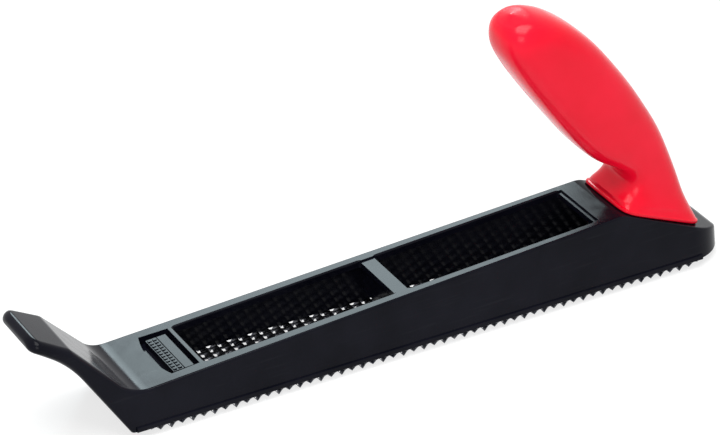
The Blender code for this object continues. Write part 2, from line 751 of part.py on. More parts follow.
def tab_path(end, hooked):
    """(outer, inner) pairs of (x, z) from the sheet's end up the tab, and over the pin if it is hooked."""
    start = end * BLADE_FLAT_END
    face = start + end * TAB_BEND
    inner = face - end * BLADE_SHEET
    path = [
        ((start + end * TAB_BEND * 0.7, TAB_BEND * 0.3), (start + end * TAB_BEND * 0.1, BLADE_SHEET * 1.05)),
        ((face, TAB_BEND), (inner, TAB_BEND * 1.2)),
        ((face, FORK_ROOT), (inner, FORK_ROOT)),
    ]
    if not hooked:
        return [*path, ((face, TAB_RISE), (inner, TAB_RISE))]
    under = TAB_RISE - BLADE_SHEET
    tip = face - end * HOOK_REACH
    return [
        *path,
        ((face, TAB_RISE - TAB_BEND), (inner, under - TAB_BEND * 0.2)),
        ((face - end * TAB_BEND * 0.3, TAB_RISE - TAB_BEND * 0.3), (inner - end * TAB_BEND * 0.1, under)),
        ((face - end * TAB_BEND, TAB_RISE), (face - end * TAB_BEND * 1.05, under)),
        ((tip, TAB_RISE), (tip, under)),
    ]


def make_blade(carrier):
    tab, fork = tab_half(), FORK_SLOT / 2
    ys = [-tab, -fork, fork, tab]
    bm = bmesh.new()
    corner = make_sheet(bm, ys)
    hook = tab_path(1, True)
    add_tab(bm, corner, 1, hook, ys, [len(hook)] * 3)
    prongs = tab_path(-1, False)
    add_tab(bm, corner, -1, prongs, ys, [len(prongs), len(prongs) - 1, len(prongs)])
    place(mesh_from(bm, "rasp_blade"), carrier, "blade_steel")


# ---------------------------------------------------------------- tensioner and anchor
def pin_centre_x():
    """The pin stands just inside the rear tab's inner face."""
    return BLADE_FLAT_END + TAB_BEND - BLADE_SHEET - GAP - PIN_RADIUS


def make_anchor_pin(carrier):
    half = RIB_INNER + RIB_THICKNESS + OVERLAP
    x = pin_centre_x()
    pin = rod("anchor_pin", (x, -half, PIN_HEIGHT), (x, half, PIN_HEIGHT), PIN_RADIUS)
    smooth(place(pin, carrier, "zinc_steel"))


def slider_front_x():
    return -(BLADE_FLAT_END + TAB_BEND - BLADE_SHEET - GAP)


def make_slider(carrier):
    front = slider_front_x()
    rear = front + SLIDER_LENGTH
    slider = box(
        "tension_slider", (front, -SLIDER_HALF, SLIDER_BOTTOM), (rear, SLIDER_HALF, SLIDER_TOP)
    )
    place(slider, carrier, "cast_zinc")
    middle = front + SLIDER_LENGTH / 2
    half = NUT_SIDE / 2 + RUN_GAP
    room = NUT_THICKNESS / 2 + RUN_GAP
    pocket = box(
        "nut_pocket",
        (middle - room, -half, SLIDER_BOTTOM - THROUGH),
        (middle + room, half, SCREW_HEIGHT + half),
    )
    bore = rod(
        "slider_bore",
        (front - THROUGH, 0, SCREW_HEIGHT),
        (rear + THROUGH, 0, SCREW_HEIGHT),
        SCREW_RADIUS + GAP,
    )
    for cutter in (pocket, bore):
        boolean(slider, place(cutter, carrier))
    side = NUT_SIDE / 2
    low = (middle - NUT_THICKNESS / 2, -side, SCREW_HEIGHT - side)
    high = (middle + NUT_THICKNESS / 2, side, SCREW_HEIGHT + side)
    nut = place(box("square_nut", low, high), carrier, "zinc_steel")
    thread = rod(
        "nut_thread",
        (low[0] - THROUGH, 0, SCREW_HEIGHT),
        (high[0] + THROUGH, 0, SCREW_HEIGHT),
        SCREW_RADIUS + RUN_GAP,
    )
    boolean(nut, place(thread, carrier))


def make_screw(name, carrier, head_face, axis, shank_radius, length, head_height, point=0.0):
    """A pan head screw. head_face is the middle of the face under the head; axis points to the tip."""
    head_face, axis = Vector(head_face), Vector(axis).normalized()
    reach = head_height / 2
    head = rod(name, head_face - axis * head_height, head_face, HEAD_RADIUS * 0.86, 24, HEAD_RADIUS)
    place(head, carrier, "zinc_steel")
    shank_end = head_face + axis * (length - point)
    shank = rod(name + "_shank", head_face - axis * reach, shank_end, shank_radius)
    boolean(head, place(shank, carrier), "UNION")
    if point:
        tip = rod(
            name + "_point",
            shank_end - axis * OVERLAP / 5,
            shank_end + axis * point,
            shank_radius * 0.97,
            24,
            shank_radius * 0.3,
        )
        boolean(head, place(tip, carrier), "UNION")
    half_slot = 0.0005
    across = 0.0022
    turn = axis.to_track_quat("Z", "Y").to_matrix().to_4x4()
    for number, (wide, tall) in enumerate(((half_slot, across), (across, half_slot))):
        slot = box(
            f"{name}_recess_{number}",
            (-wide, -tall, -head_height * 2),
            (wide, tall, -head_height * 0.42),
        )
        slot.data.transform(Matrix.Translation(head_face) @ turn)
        boolean(head, place(slot, carrier))
    smooth(head)
    return head


def make_washer(name, carrier, face, axis, hole_radius):
    """A washer that lies on face, on the side that axis points away from."""
    face, axis = Vector(face), Vector(axis).normalized()
    ring = rod(name, face - axis * WASHER_THICKNESS, face, WASHER_RADIUS)
    place(ring, carrier, "zinc_steel")
    far = axis * THROUGH
    boolean(ring, place(rod(name + "_hole", face - far, face + far, hole_radius), carrier))
    smooth(ring)


def make_tension_screw(carrier):
    inward = (1, 0, 0)
    seat = TOE_WALL_X - TOE_WALL - GAP
    make_washer("screw_washer", carrier, (seat, 0, SCREW_HEIGHT), inward, SCREW_RADIUS + RUN_GAP)
    under_head = seat - WASHER_THICKNESS - GAP
    make_screw(
        "tension_screw",
        carrier,
        (under_head, 0, SCREW_HEIGHT),
        inward,
        SCREW_RADIUS,
        SCREW_LENGTH,
        HEAD_HEIGHT,
    )


# ---------------------------------------------------------------- grip
def grip_ring(front, back, half, squareness, sides=GRIP_SIDES):
    """A section through the grip: a super-ellipse between its front and back points (x, z)."""
    front, back = Vector(front), Vector(back)
    middle = (front + back) / 2
    reach = (back - front) / 2
    power = 2 / squareness
    ring = []
    for i in range(sides):
        angle = 2 * math.pi * (i + 0.5) / sides
        c, s = math.cos(angle), math.sin(angle)
        along = math.copysign(abs(c) ** power, c)
        across = math.copysign(abs(s) ** power, s)
        point = middle + reach * along
        ring.append((point.x, across * half, point.y))
    return ring


def grip_foot():
    """Front and back points (x, z) of the grip's foot, just above the heel."""
    lift = Vector((HEEL_NORMAL.x, HEEL_NORMAL.z)) * GAP
    return [Vector((x, heel_height(x))) + lift for x in (GRIP_FRONT_X, GRIP_REAR_X)]


def grip_stations():
    """The grip's stations, moved from where they are drawn to where the grip stands."""
    move = Vector((GRIP_FRONT_X, heel_height(GRIP_FRONT_X))) - GRIP_DRAWN_AT
    return [
        (Vector(front) + move, Vector(back) + move, half, squareness)
        for front, back, half, squareness in GRIP_STATIONS
    ], GRIP_CROWN + move


def shrunk(station, wall):
    front, back, half, squareness = station
    front, back = Vector(front), Vector(back)
    inward = (back - front).normalized() * wall
    return front + inward, back - inward, half - wall, squareness


def make_grip(carrier):
    stations, crown = grip_stations()
    front, back = grip_foot()
    foot = (front, back, GRIP_FOOT_HALF, 7.0)
    lip = Vector((HEEL_NORMAL.x, HEEL_NORMAL.z)) * 0.0016
    brim = (front + lip, back + lip, GRIP_FOOT_HALF, 6.5)
    rings = [grip_ring(*station) for station in (foot, brim, *stations)]
    grip = loft("handle_grip", rings, (crown.x, 0, crown.y))
    place(grip, carrier, "red_plastic")
    down = Vector((HEEL_NORMAL.x, HEEL_NORMAL.z)) * -THROUGH
    floor = shrunk((front + down, back + down, GRIP_FOOT_HALF, 6.0), GRIP_SHELL)
    hollow = [floor, *(shrunk(s, GRIP_SHELL) for s in stations[CORE_STATIONS])]
    boolean(grip, place(loft("grip_core", [grip_ring(*s, 16) for s in hollow]), carrier))
    bosses, bores = [], []
    for x in GRIP_SCREW_X:
        seat = Vector((x, 0, heel_height(x))) + HEEL_NORMAL * GAP
        top = seat + HEEL_NORMAL * GRIP_BOSS_HEIGHT
        bosses.append(rod("grip_boss", seat, top, GRIP_BOSS_RADIUS, 20))
        bores.append(
            rod(
                "grip_bore",
                seat - HEEL_NORMAL * THROUGH,
                top - HEEL_NORMAL * GRIP_SHELL / 4,
                GRIP_SCREW_RADIUS + RUN_GAP,
                20,
            )
        )
    web_low, web_high = GRIP_SCREW_X
    seat = Vector((web_low, heel_height(web_low))) + lip
    end = Vector((web_high, heel_height(web_high))) + lip
    rise = Vector((HEEL_NORMAL.x, HEEL_NORMAL.z)) * GRIP_BOSS_HEIGHT * 0.8
    web = prism("grip_web", [seat, end, end + rise, seat + rise], GRIP_SHELL / 3)
    for boss in bosses:
        boolean(grip, place(boss, carrier), "UNION")
    boolean(grip, place(web, carrier), "UNION")
    for bore in bores:
        boolean(grip, place(bore, carrier))
    smooth(grip, 50)


def make_grip_screws(carrier):
    for name, x in zip(("front", "rear"), GRIP_SCREW_X):
        under = Vector((x, 0, heel_height(x))) - HEEL_NORMAL * (
            RIM_THICKNESS * math.cos(HEEL_TILT) + GAP
        )
        hole = GRIP_SCREW_RADIUS + RUN_GAP
        make_washer(f"grip_washer_{name}", carrier, under, HEEL_NORMAL, hole)
        face = under - HEEL_NORMAL * (WASHER_THICKNESS + GAP)
        make_screw(
            f"grip_screw_{name}",
            carrier,
            face,
            HEEL_NORMAL,
            GRIP_SCREW_RADIUS,
            GRIP_SCREW_LENGTH,
            HEAD_HEIGHT,
            0.003,
        )


# ---------------------------------------------------------------- the tool
def main():
    carrier = bpy.data.objects.new("tool_frame", None)
    PARTS.objects.link(carrier)
    nose_x = min(p.x for p in front_face())
    carrier.location = (-(nose_x + HEEL_X) / 2, 0, TOOTH_DROP)
    make_body(carrier)
    make_blade(carrier)
    make_anchor_pin(carrier)
    make_slider(carrier)
    make_tension_screw(carrier)
    make_grip(carrier)
    make_grip_screws(carrier)


main()
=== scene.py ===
"""Finished look of the plasterboard rasp plane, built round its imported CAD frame."""

import math

import bmesh
import bpy
from mathutils import Matrix, Vector


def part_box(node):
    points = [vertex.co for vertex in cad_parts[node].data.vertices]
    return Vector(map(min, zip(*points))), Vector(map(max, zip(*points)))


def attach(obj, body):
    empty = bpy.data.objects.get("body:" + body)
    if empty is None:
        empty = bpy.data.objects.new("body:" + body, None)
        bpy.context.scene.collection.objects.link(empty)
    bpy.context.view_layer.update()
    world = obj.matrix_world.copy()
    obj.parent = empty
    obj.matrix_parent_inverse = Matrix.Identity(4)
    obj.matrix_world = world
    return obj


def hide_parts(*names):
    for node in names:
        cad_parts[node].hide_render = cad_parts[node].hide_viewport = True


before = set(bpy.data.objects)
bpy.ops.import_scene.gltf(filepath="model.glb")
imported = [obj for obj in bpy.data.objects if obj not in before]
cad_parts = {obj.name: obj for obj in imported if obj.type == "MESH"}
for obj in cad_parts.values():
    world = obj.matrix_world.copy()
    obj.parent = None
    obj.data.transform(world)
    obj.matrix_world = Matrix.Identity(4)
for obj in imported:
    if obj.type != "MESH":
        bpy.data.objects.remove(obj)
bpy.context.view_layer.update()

# ---------------------------------------------------------------- sizes
# Lengths are metres. Shapes are drawn from the middle of the blade and up from its underside,
# and moved to the frame's own origin when a piece is finished.
TOOTH_DROP = 0.0019
BLADE_LOW, BLADE_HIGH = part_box("rasp_blade")
ORIGIN = Vector(((BLADE_LOW.x + BLADE_HIGH.x) / 2, 0, BLADE_LOW.z + TOOTH_DROP))
THROUGH = 0.004  # how far a cutter runs past what it cuts
GAP = 0.0003  # between pieces that touch

# blade
SHEET = 0.0009
STRIP_LOW = 0.0004  # underside of the toothed strip, which is thinner than the ends
INNER_DEPTH = 0.36  # inner teeth beside the edge teeth
BLADE_HALF = (BLADE_HIGH.y - BLADE_LOW.y) / 2
COLUMN = 0.00455  # from one column of teeth to the next, half a row's pitch
ROW = 0.00364
COLUMNS = 53
BLADE_ROWS = 11
FLAT_END = 0.1223
BEND = 0.0011
TAB_TOP = BLADE_HIGH.z - ORIGIN.z
HOOK_REACH = 0.005
FORK_ROOT = 0.0036

# body
WALL = 0.0026
BODY_BASE = SHEET + GAP
FOOT_HALF = 0.0219
SIDE_DRAFT = 0.15
RIM_HEIGHT = 0.0240
RIM_SLOPE = 0.0596
RIM_KNEE_X = 0.0886
HEEL_FALL = 0.422
HEEL_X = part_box("body_shell")[1].x - ORIGIN.x
HEEL_CORNER = 0.0175
HEEL_ROUND = 0.0075
HEEL_LEAN = 0.05
HEEL_WALL = 0.0050
WELL_TOP = 0.032  # above the highest part of the chip well
NOSE_STEPS = 14
NOSE_RUN = 0.005  # length of the nose that is drawn in close steps
SIDE_CORNER = 0.0014  # rounding of the front edges at the toe
SIDE_CORNER_HORN = 0.0050  # and round the horn
FRONT_FOOT_X = -0.1303
FRONT_LEAN = math.radians(57.7)
FRONT_RUN = 0.0295
HORN_CURVE = 0.040
HORN_END_LEAN = math.radians(33)
PADDLE_SLOPE = math.radians(30)
PADDLE_END = Vector((-0.1500, 0.0403))
RAMP_SLOPE = math.radians(47)
RAMP_KNEE = 0.006
SADDLE = 0.014
RIM_EDGE = 0.0009  # rounding of the long edges
HORN_EDGE = 0.0030  # rounding round the horn
HORN_EDGE_X = -0.118  # where the rounding starts to open out
HORN_EDGE_RUN = 0.022
KNEE_ROUND = 0.010  # between the rim and the heel
SHOE_PROUD = 0.0007
SHOE_HEIGHT = 0.0023
SHOE_FRONT_X = -0.1285
SHOE_REAR_X = 0.1240
SHOE_ROOT = 0.0008  # how far the strip reaches into the wall

# recess under the horn, and the toe
HORN_WALL = 0.0034
RECESS_SIDE = 0.0065
RECESS_FLOOR = 0.0026
WEB = 0.0024
WEB_BOTTOM = 0.0150
NOSE_REACH = -0.1700
NOSE_TOP = 0.0520
TOE_WALL_X = -0.1244
TOE_WALL = 0.0026
TOE_HALF = 0.0175

# openings in the top
OPENING_HALF = 0.0140
OPENING_CORNER = 0.0012
OPENING_EDGE = 0.0007
RIM_THICKNESS = 0.0030
PARTITION_X = -0.0958
PARTITION = 0.0020
POCKET_FRONT_X = -0.1087
POCKET_DEPTH = 0.0035
POCKET_RUN = 0.0012  # from the floor's front to the ends of the bowed edge
POCKET_FLARE = 0.0006
POCKET_BULGE = 0.0026
POCKET_STEPS = 16
PLATE_HALF = 0.0124
PLATE_DROP = 0.0010  # top of the raised plates below the deck
PLATES = ((-0.1080, 0.0044), (-0.1032, 0.0036))  # front and length of each
RELIEF_BLOCK = (0.0014, 0.0011, 0.0008)
RELIEF_PITCH = (0.0021, 0.0020)
RELIEF_COUNT = (2, 12)
POCKET_FLOOR = 0.0022
BAR_FRONT_X = -0.0134
BAR_REAR_X = -0.0075
BAR_DROP = 0.0007
BAR_RIB = 0.0022
BAR_RIB_BOTTOM = 0.0080
OPENING_REAR_X = 0.0772
LIP_WIDTH = 0.0016
LIP_DROP = 0.0008

# tensioner, anchor and screws
SCREW_HEIGHT = 0.0075
SCREW_RADIUS = 0.0020
HEAD_RADIUS = 0.0040
HEAD_HEIGHT = 0.0026
WASHER = 0.0008
WASHER_RADIUS = 0.0044
SLIDER_HALF = 0.0127
GUIDE = 0.0016
GUIDE_BOTTOM = 0.0016
PIN_RADIUS = 0.0020
PIN_HEIGHT = 0.0066
RIB_INNER = 0.0120
RIB_THICKNESS = 0.0025
RIB_BOTTOM = 0.0022
RIB_LENGTH = 0.0130
RIB_SLOT_REACH = 0.0015  # the pin's slot past the ribs
RUN_GAP = 0.00015
SCREW_PITCH = 0.0007
NECK = 0.0022  # plain shank under a screw's head
RECESS = (0.0005, 0.0021)  # half width and half length of a cross recess
NUT_EDGE = 0.0003
SLIDER_EDGE = 0.0005
PIN_EDGE = 0.0003
WASHER_EDGE = 0.00012

# grip
GRIP_FRONT_X = 0.0894
GRIP_REAR_X = 0.1265
GRIP_FOOT_HALF = 0.0172
GRIP_SCREW_X = (0.0965, 0.1090)
GRIP_SCREW_RADIUS = 0.0021
GRIP_SCREW = (GRIP_SCREW_RADIUS, 0.019, 0.0015, 0.004)  # radius, length, pitch, point
GRIP_SIDES = 64
# front point and back point (x, height), half width, squareness
GRIP_STATIONS = (
    ((0.0905, 0.0325), (0.1253, 0.0200), 0.0165, 4.0),
    ((0.0938, 0.0355), (0.1222, 0.0275), 0.0150, 3.6),
    ((0.0955, 0.0390), (0.1190, 0.0375), 0.0141, 3.3),
    ((0.0940, 0.0427), (0.1152, 0.0480), 0.0139, 3.1),
    ((0.0888, 0.0463), (0.1106, 0.0592), 0.0140, 3.0),
    ((0.0815, 0.0512), (0.1046, 0.0700), 0.0143, 3.0),
    ((0.0727, 0.0606), (0.0970, 0.0820), 0.0146, 3.0),
    ((0.0625, 0.0737), (0.0885, 0.0937), 0.0147, 3.0),
    ((0.0526, 0.0873), (0.0800, 0.1040), 0.0147, 3.0),
    ((0.0452, 0.0984), (0.0716, 0.1120), 0.0146, 2.9),
    ((0.0406, 0.1072), (0.0636, 0.1178), 0.0138, 2.7),
    ((0.0397, 0.1142), (0.0571, 0.1209), 0.0117, 2.4),
    ((0.0412, 0.1186), (0.0521, 0.1224), 0.0078, 2.2),
)
GRIP_CROWN = Vector((0.0462, 0.1222))
DOME_SHARES = (0.72, 0.42, 0.16)  # of the last station's size, for the closing dome
BRIM = 0.0005
# the foot's brim: shares of it upwards and inwards, loss of half width, squareness
BRIM_STATIONS = (
    (0, 1, 0.0005, 7.0),
    (0.3, 0.3, 0.00015, 7.0),
    (1, 0, 0, 7.0),
    (2.6, 0, 0, 6.5),
    (3.4, 1, 0.0005, 6.0),
)


def side_half(height):
    return FOOT_HALF - SIDE_DRAFT * height


def rim_height(x):
    return RIM_HEIGHT + RIM_SLOPE * x


def heel_height(x):
    return rim_height(RIM_KNEE_X) - HEEL_FALL * (x - RIM_KNEE_X)


HEEL_NORMAL = Vector((HEEL_FALL, 0, 1)).normalized()
HEEL_UP = Vector((HEEL_NORMAL.x, HEEL_NORMAL.z))


# ---------------------------------------------------------------- mesh work
SHARP = 32  # degrees from which an edge stays sharp
ROUND_SIDES = 40  # of rods and turned pieces


def linked(name, data):
    obj = bpy.data.objects.new(name, data)
    bpy.context.scene.collection.objects.link(obj)
    return obj


def drawn(bm, name):
    """What has been drawn in a bmesh, as a mesh."""
    mesh = bpy.data.meshes.new(name)
    bm.to_mesh(mesh)
    bm.free()
    return mesh


def solid(bm, name):
    bmesh.ops.recalc_face_normals(bm, faces=bm.faces)
    return linked(name, drawn(bm, name))


def box(name, low, high):
    bm = bmesh.new()
    size = [h - l for l, h in zip(low, high)]
    middle = [(h + l) / 2 for l, h in zip(low, high)]
    bmesh.ops.create_cube(bm, size=1, matrix=Matrix.Translation(middle) @ Matrix.Diagonal((*size, 1)))
    return solid(bm, name)


def upright_to(axis):
    """The turn that brings the Z axis to another one."""
    return Vector(axis).to_track_quat("Z", "Y").to_matrix()


def rod(name, start, end, radius):
    start, end = Vector(start), Vector(end)
    axis = end - start
    size = {"radius1": radius, "radius2": radius, "depth": axis.length}
    place = Matrix.Translation((start + end) / 2) @ upright_to(axis).to_4x4()
    bm = bmesh.new()
    bmesh.ops.create_cone(bm, cap_ends=True, segments=ROUND_SIDES, matrix=place, **size)
    return solid(bm, name)


def loft(name, rings, crown=None):
    """A skin through rings of equal length with a flat face at each end, or a fan up to a crown."""
    bm = bmesh.new()
    rows = [[bm.verts.new(point) for point in ring] for ring in rings]
    for lower, upper in zip(rows, rows[1:]):
        for i in range(len(lower)):
            j = (i + 1) % len(lower)
            bm.faces.new((lower[i], lower[j], upper[j], upper[i]))
    bm.faces.new(reversed(rows[0]))
    if crown is None:
        bm.faces.new(rows[-1])
    else:
        top = bm.verts.new(crown)
        for a, b in zip(rows[-1], [*rows[-1][1:], rows[-1][0]]):
            bm.faces.new((a, b, top))
    return solid(bm, name)


def slab(name, outline, half):
    """An outline in X and Z, made half wide each way along Y."""
    return loft(name, [[(x, y, z) for x, z in outline] for y in (-half, half)])


def arc(centre, radius, start, end, steps):
    turn = (end - start) / steps
    return [
        centre + Vector((math.cos(start + i * turn), math.sin(start + i * turn))) * radius
        for i in range(steps + 1)
    ]


def settle(obj):
    """Keeps what the object's modifiers make of it and drops the modifiers."""
    graph = bpy.context.evaluated_depsgraph_get()
    mesh = bpy.data.meshes.new_from_object(obj.evaluated_get(graph))
    obj.modifiers.clear()
    obj.data = mesh


def work(obj, tools, operation="DIFFERENCE"):
    """Cuts the tools from obj, or joins them on, and throws them away."""
    for tool in tools:
        modifier = obj.modifiers.new(tool.name, "BOOLEAN")
        modifier.operation = operation
        modifier.object = tool
    settle(obj)
    for tool in tools:
        bpy.data.objects.remove(tool)


def finish_piece(obj, material, body, nodes, sharp=SHARP):
    """Moves a finished shape to the frame's origin and ties it to its CAD body and nodes."""
    mesh = obj.data
    mesh.transform(Matrix.Translation(ORIGIN))
    mesh.materials.clear()
    mesh.materials.append(material)
    if sharp:
        mesh.shade_smooth()
        mesh.set_sharp_from_angle(angle=math.radians(sharp))
    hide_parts(*nodes)
    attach(obj, body)


def even_shading(obj, flat_normal):
    """Keeps flat faces flat beside rounded edges, and the face along flat_normal quite plain."""
    mesh = obj.data
    mesh.shade_smooth()
    mesh.set_sharp_from_angle(angle=math.radians(SHARP))
    bm = bmesh.new()
    bm.from_mesh(mesh)
    for edge in bm.edges:
        if len(edge.link_faces) != 2:
            continue
        first, second = [face.normal.dot(flat_normal) > 0.99999 for face in edge.link_faces]
        along = (edge.verts[1].co - edge.verts[0].co).normalized()
        if first != second and abs(along.y) < 0.99:
            edge.smooth = False
    bm.to_mesh(mesh)
    bm.free()
    modifier = obj.modifiers.new("even_shading", "WEIGHTED_NORMAL")
    modifier.keep_sharp = True
    settle(obj)


# ---------------------------------------------------------------- nodes
def feed(tree, socket, value):
    """Links a socket to another one, or sets it to a plain value."""
    if isinstance(value, bpy.types.NodeSocket):
        tree.links.new(value, socket)
    else:
        socket.default_value = value


def add(tree, kind, inputs=None, **settings):
    """A new node with its settings, and with its inputs by name."""
    node = tree.nodes.new(kind)
    for key, value in settings.items():
        setattr(node, key, value)
    for key, value in (inputs or {}).items():
        feed(tree, node.inputs[key], value)
    return node


def mixed(tree, kind, *values, **settings):
    """The first output of a new node that takes these values in order."""
    node = add(tree, kind, **settings)
    for socket, value in zip(node.inputs, values):
        feed(tree, socket, value)
    return node.outputs[0]


def maths(tree, operation, first, second):
    return mixed(tree, "ShaderNodeMath", first, second, operation=operation)


# ---------------------------------------------------------------- materials
class Finish:
    """A material under construction: its node tree, its shader and its pattern coordinates."""

    def __init__(self, name, metallic=0.0, specular=0.5):
        self.material = bpy.data.materials.new(name)
        self.material.use_nodes = True
        self.tree = self.material.node_tree
        self.shader = self.tree.nodes["Principled BSDF"].inputs
        self.shader["Metallic"].default_value = metallic
        self.shader["Specular IOR Level"].default_value = specular
        self.place = self.node("ShaderNodeTexCoord")["Object"]

    def node(self, kind, inputs=None, **settings):
        """The outputs of a new node."""
        return add(self.tree, kind, inputs, **settings).outputs

    def noise(self, scale, detail=3, stretch=(1, 1, 1)):
        """Cloudy grey values; scale counts patches in a metre."""
        place = self.node("ShaderNodeMapping", {"Vector": self.place, "Scale": stretch})["Vector"]
        return self.node("ShaderNodeTexNoise", {"Vector": place, "Scale": scale, "Detail": detail})["Fac"]

    def spread(self, value, low, high, start=0.35, end=0.65):
        """Stretches a grey value between start and end to run from low to high."""
        inputs = {"Value": value, "From Min": start, "From Max": end, "To Min": low, "To Max": high}
        return self.node("ShaderNodeMapRange", inputs)["Result"]

    def blend(self, value, *colours):
        """Mixes two colours, or a colour and another pattern, by a grey value."""
        first, second = [c if isinstance(c, bpy.types.NodeSocket) else (*c, 1) for c in colours]
        inputs = {"Factor": value, "A": first, "B": second}
        return self.node("ShaderNodeMix", inputs, data_type="RGBA")["Result"]

    def cloudy(self, pattern, first, second):
        """Two colours in patches that follow a pattern."""
        return self.blend(self.spread(pattern, 0, 1), first, second)

    def bump(self, *layers):
        """Layers of (height pattern, depth in metres) on the surface normal."""
        under = {}
        for height, depth in layers:
            normal = self.node("ShaderNodeBump", {"Height": height, "Distance": depth, **under})["Normal"]
            under = {"Normal": normal}
        feed(self.tree, self.shader["Normal"], normal)

    def wear(self, colour, roughness):
        feed(self.tree, self.shader["Base Color"], colour)
        feed(self.tree, self.shader["Roughness"], roughness)
        return self.material


def black_moulding():
    """Hard black plastic: faint clouding, fine scuffs along the length and a fine spark texture."""
    finish = Finish("black_moulding", specular=0.09)
    scuffs = finish.spread(finish.noise(900, 4, (0.06, 1, 1)), 0, 1, 0.60, 0.75)
    colour = finish.cloudy(finish.noise(45), (0.0022, 0.0024, 0.0055), (0.0048, 0.0050, 0.0095))
    colour = finish.blend(finish.spread(scuffs, 0, 0.2, 0, 1), colour, (0.022, 0.023, 0.028))
    roughness = finish.spread(finish.noise(160, 5), 0.11, 0.17)
    finish.bump((finish.noise(25, 1), 0.00010), (finish.noise(5200, 2), 0.000002))
    return finish.wear(colour, roughness)


def red_moulding():
    """Glossy red plastic: slight colour drift, soft flow waves and a very fine orange peel."""
    finish = Finish("red_moulding", specular=0.20)
    colour = finish.cloudy(finish.noise(38), (0.79, 0.002, 0.020), (0.86, 0.004, 0.028))
    roughness = finish.spread(finish.noise(120, 5), 0.16, 0.24)
    finish.bump((finish.noise(42, 1), 0.00018), (finish.noise(2600, 2), 0.000004))
    return finish.wear(colour, roughness)


def rasp_steel():
    """Dark hardened strip: blued clouds, grinding marks along the blade and bright ground tooth tips."""
    finish = Finish("rasp_steel", metallic=1.0)
    colour = finish.cloudy(finish.noise(110, 4), (0.055, 0.058, 0.075), (0.12, 0.123, 0.135))
    height = finish.node("ShaderNodeSeparateXYZ", {"Vector": finish.place})["Z"]
    tips = finish.spread(height, 0.8, 0, TOOTH_DROP * 0.02, TOOTH_DROP * 0.22)
    colour = finish.blend(tips, colour, (0.62, 0.62, 0.61))
    grinding = finish.noise(1500, 3, (0.05, 1, 1))
    roughness = finish.spread(grinding, 0.26, 0.42)
    finish.bump((grinding, 0.00001), (finish.noise(2400, 2), 0.000005))
    return finish.wear(colour, roughness)


def zinc_plating():
    """Bright plated steel with a faint yellow and blue bloom and fine rub marks."""
    finish = Finish("zinc_plating", metallic=1.0)
    colour = finish.cloudy(finish.noise(320), (0.60, 0.62, 0.65), (0.67, 0.65, 0.58))
    roughness = finish.spread(finish.noise(2600, 4, (0.3, 1, 1)), 0.20, 0.38)
    finish.bump((finish.noise(4200), 0.000006))
    return finish.wear(colour, roughness)


def die_casting():
    """Grey die-cast zinc: sandy skin with slightly darker hollows."""
    finish = Finish("die_casting", metallic=1.0)
    skin = finish.noise(1900, 5)
    colour = finish.cloudy(skin, (0.34, 0.34, 0.35), (0.50, 0.50, 0.51))
    roughness = finish.spread(skin, 0.56, 0.40)
    finish.bump((skin, 0.00003))
    return finish.wear(colour, roughness)


BLACK = black_moulding()
RED = red_moulding()
STEEL = rasp_steel()
ZINC = zinc_plating()
CASTING = die_casting()


# ---------------------------------------------------------------- body outlines
def nose_centre():
    """Centre of the nose: the nose touches the underside and the paddle and reaches the CAD's tip."""
    under = Vector((math.sin(HORN_END_LEAN), math.cos(HORN_END_LEAN)))
    over = Vector((math.sin(PADDLE_SLOPE), math.cos(PADDLE_SLOPE)))
    chin = horn_curve()[-1]
    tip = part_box("body_shell")[0].x - ORIGIN.x
    spread = Matrix((under, over)).inverted()
    flat = spread @ Vector((chin.dot(under), PADDLE_END.dot(over)))
    lean = spread @ Vector((1, -1))
    radius = (tip - flat.x) / (lean.x - 1)
    return flat + lean * radius, radius


def horn_curve():
    """Points (x, z) where the front face bends forward under the horn."""
    along = Vector((-math.cos(FRONT_LEAN), math.sin(FRONT_LEAN)))
    bend = Vector((FRONT_FOOT_X, BODY_BASE)) + along * FRONT_RUN
    centre = bend - Vector((math.sin(FRONT_LEAN), math.cos(FRONT_LEAN))) * HORN_CURVE
    start = math.pi / 2 - FRONT_LEAN
    return arc(centre, HORN_CURVE, start, math.pi / 2 - HORN_END_LEAN, 10)


def underside():
    """Points (x, z) of the underside, from the tip of the nose to the rear of the foot."""
    centre, radius = nose_centre()
    nose = arc(centre, radius, math.pi, math.radians(270) - HORN_END_LEAN, 10)
    foot = [Vector((FRONT_FOOT_X, BODY_BASE)), Vector((HEEL_X, BODY_BASE))]
    return [*nose, *reversed(horn_curve()), *foot]


def upper_side():
    """Points (x, z) of the upper surface, from the tip of the nose over the rim to the rear face."""
    centre, radius = nose_centre()
    nose = arc(centre, radius, math.pi, math.pi / 2 - PADDLE_SLOPE, NOSE_STEPS)
    fall = math.tan(RAMP_SLOPE)
    saddle_x = (PADDLE_END.y + fall * PADDLE_END.x - RIM_HEIGHT) / (RIM_SLOPE + fall)
    saddle = Vector((saddle_x, rim_height(saddle_x)))
    knee = Vector((RIM_KNEE_X, rim_height(RIM_KNEE_X)))
    heel = Vector((HEEL_X, heel_height(HEEL_X)))
    base = Vector((HEEL_X, BODY_BASE))
    return [
        *nose,
        *fillet(nose[-1], PADDLE_END, saddle, RAMP_KNEE, 8),
        *fillet(PADDLE_END, saddle, knee, SADDLE, 16),
        *fillet(saddle, knee, heel, KNEE_ROUND, 6),
        *fillet(knee, heel, base, HEEL_ROUND, 12),
    ]


def plan_ring(front, rear, half, height, front_corner, rear_corner, front_steps=8, rear_steps=14):
    """A rectangle in plan with round corners."""
    corners = (
        (rear - rear_corner, half - rear_corner, rear_corner, 0, rear_steps),
        (front + front_corner, half - front_corner, front_corner, 90, front_steps),
        (front + front_corner, front_corner - half, front_corner, 180, front_steps),
        (rear - rear_corner, rear_corner - half, rear_corner, 270, rear_steps),
    )
    points = []
    for x, y, radius, start, steps in corners:
        turn = arc(Vector((x, y)), radius, math.radians(start), math.radians(start + 90), steps)
        points += [(p.x, p.y, height) for p in turn]
    return points


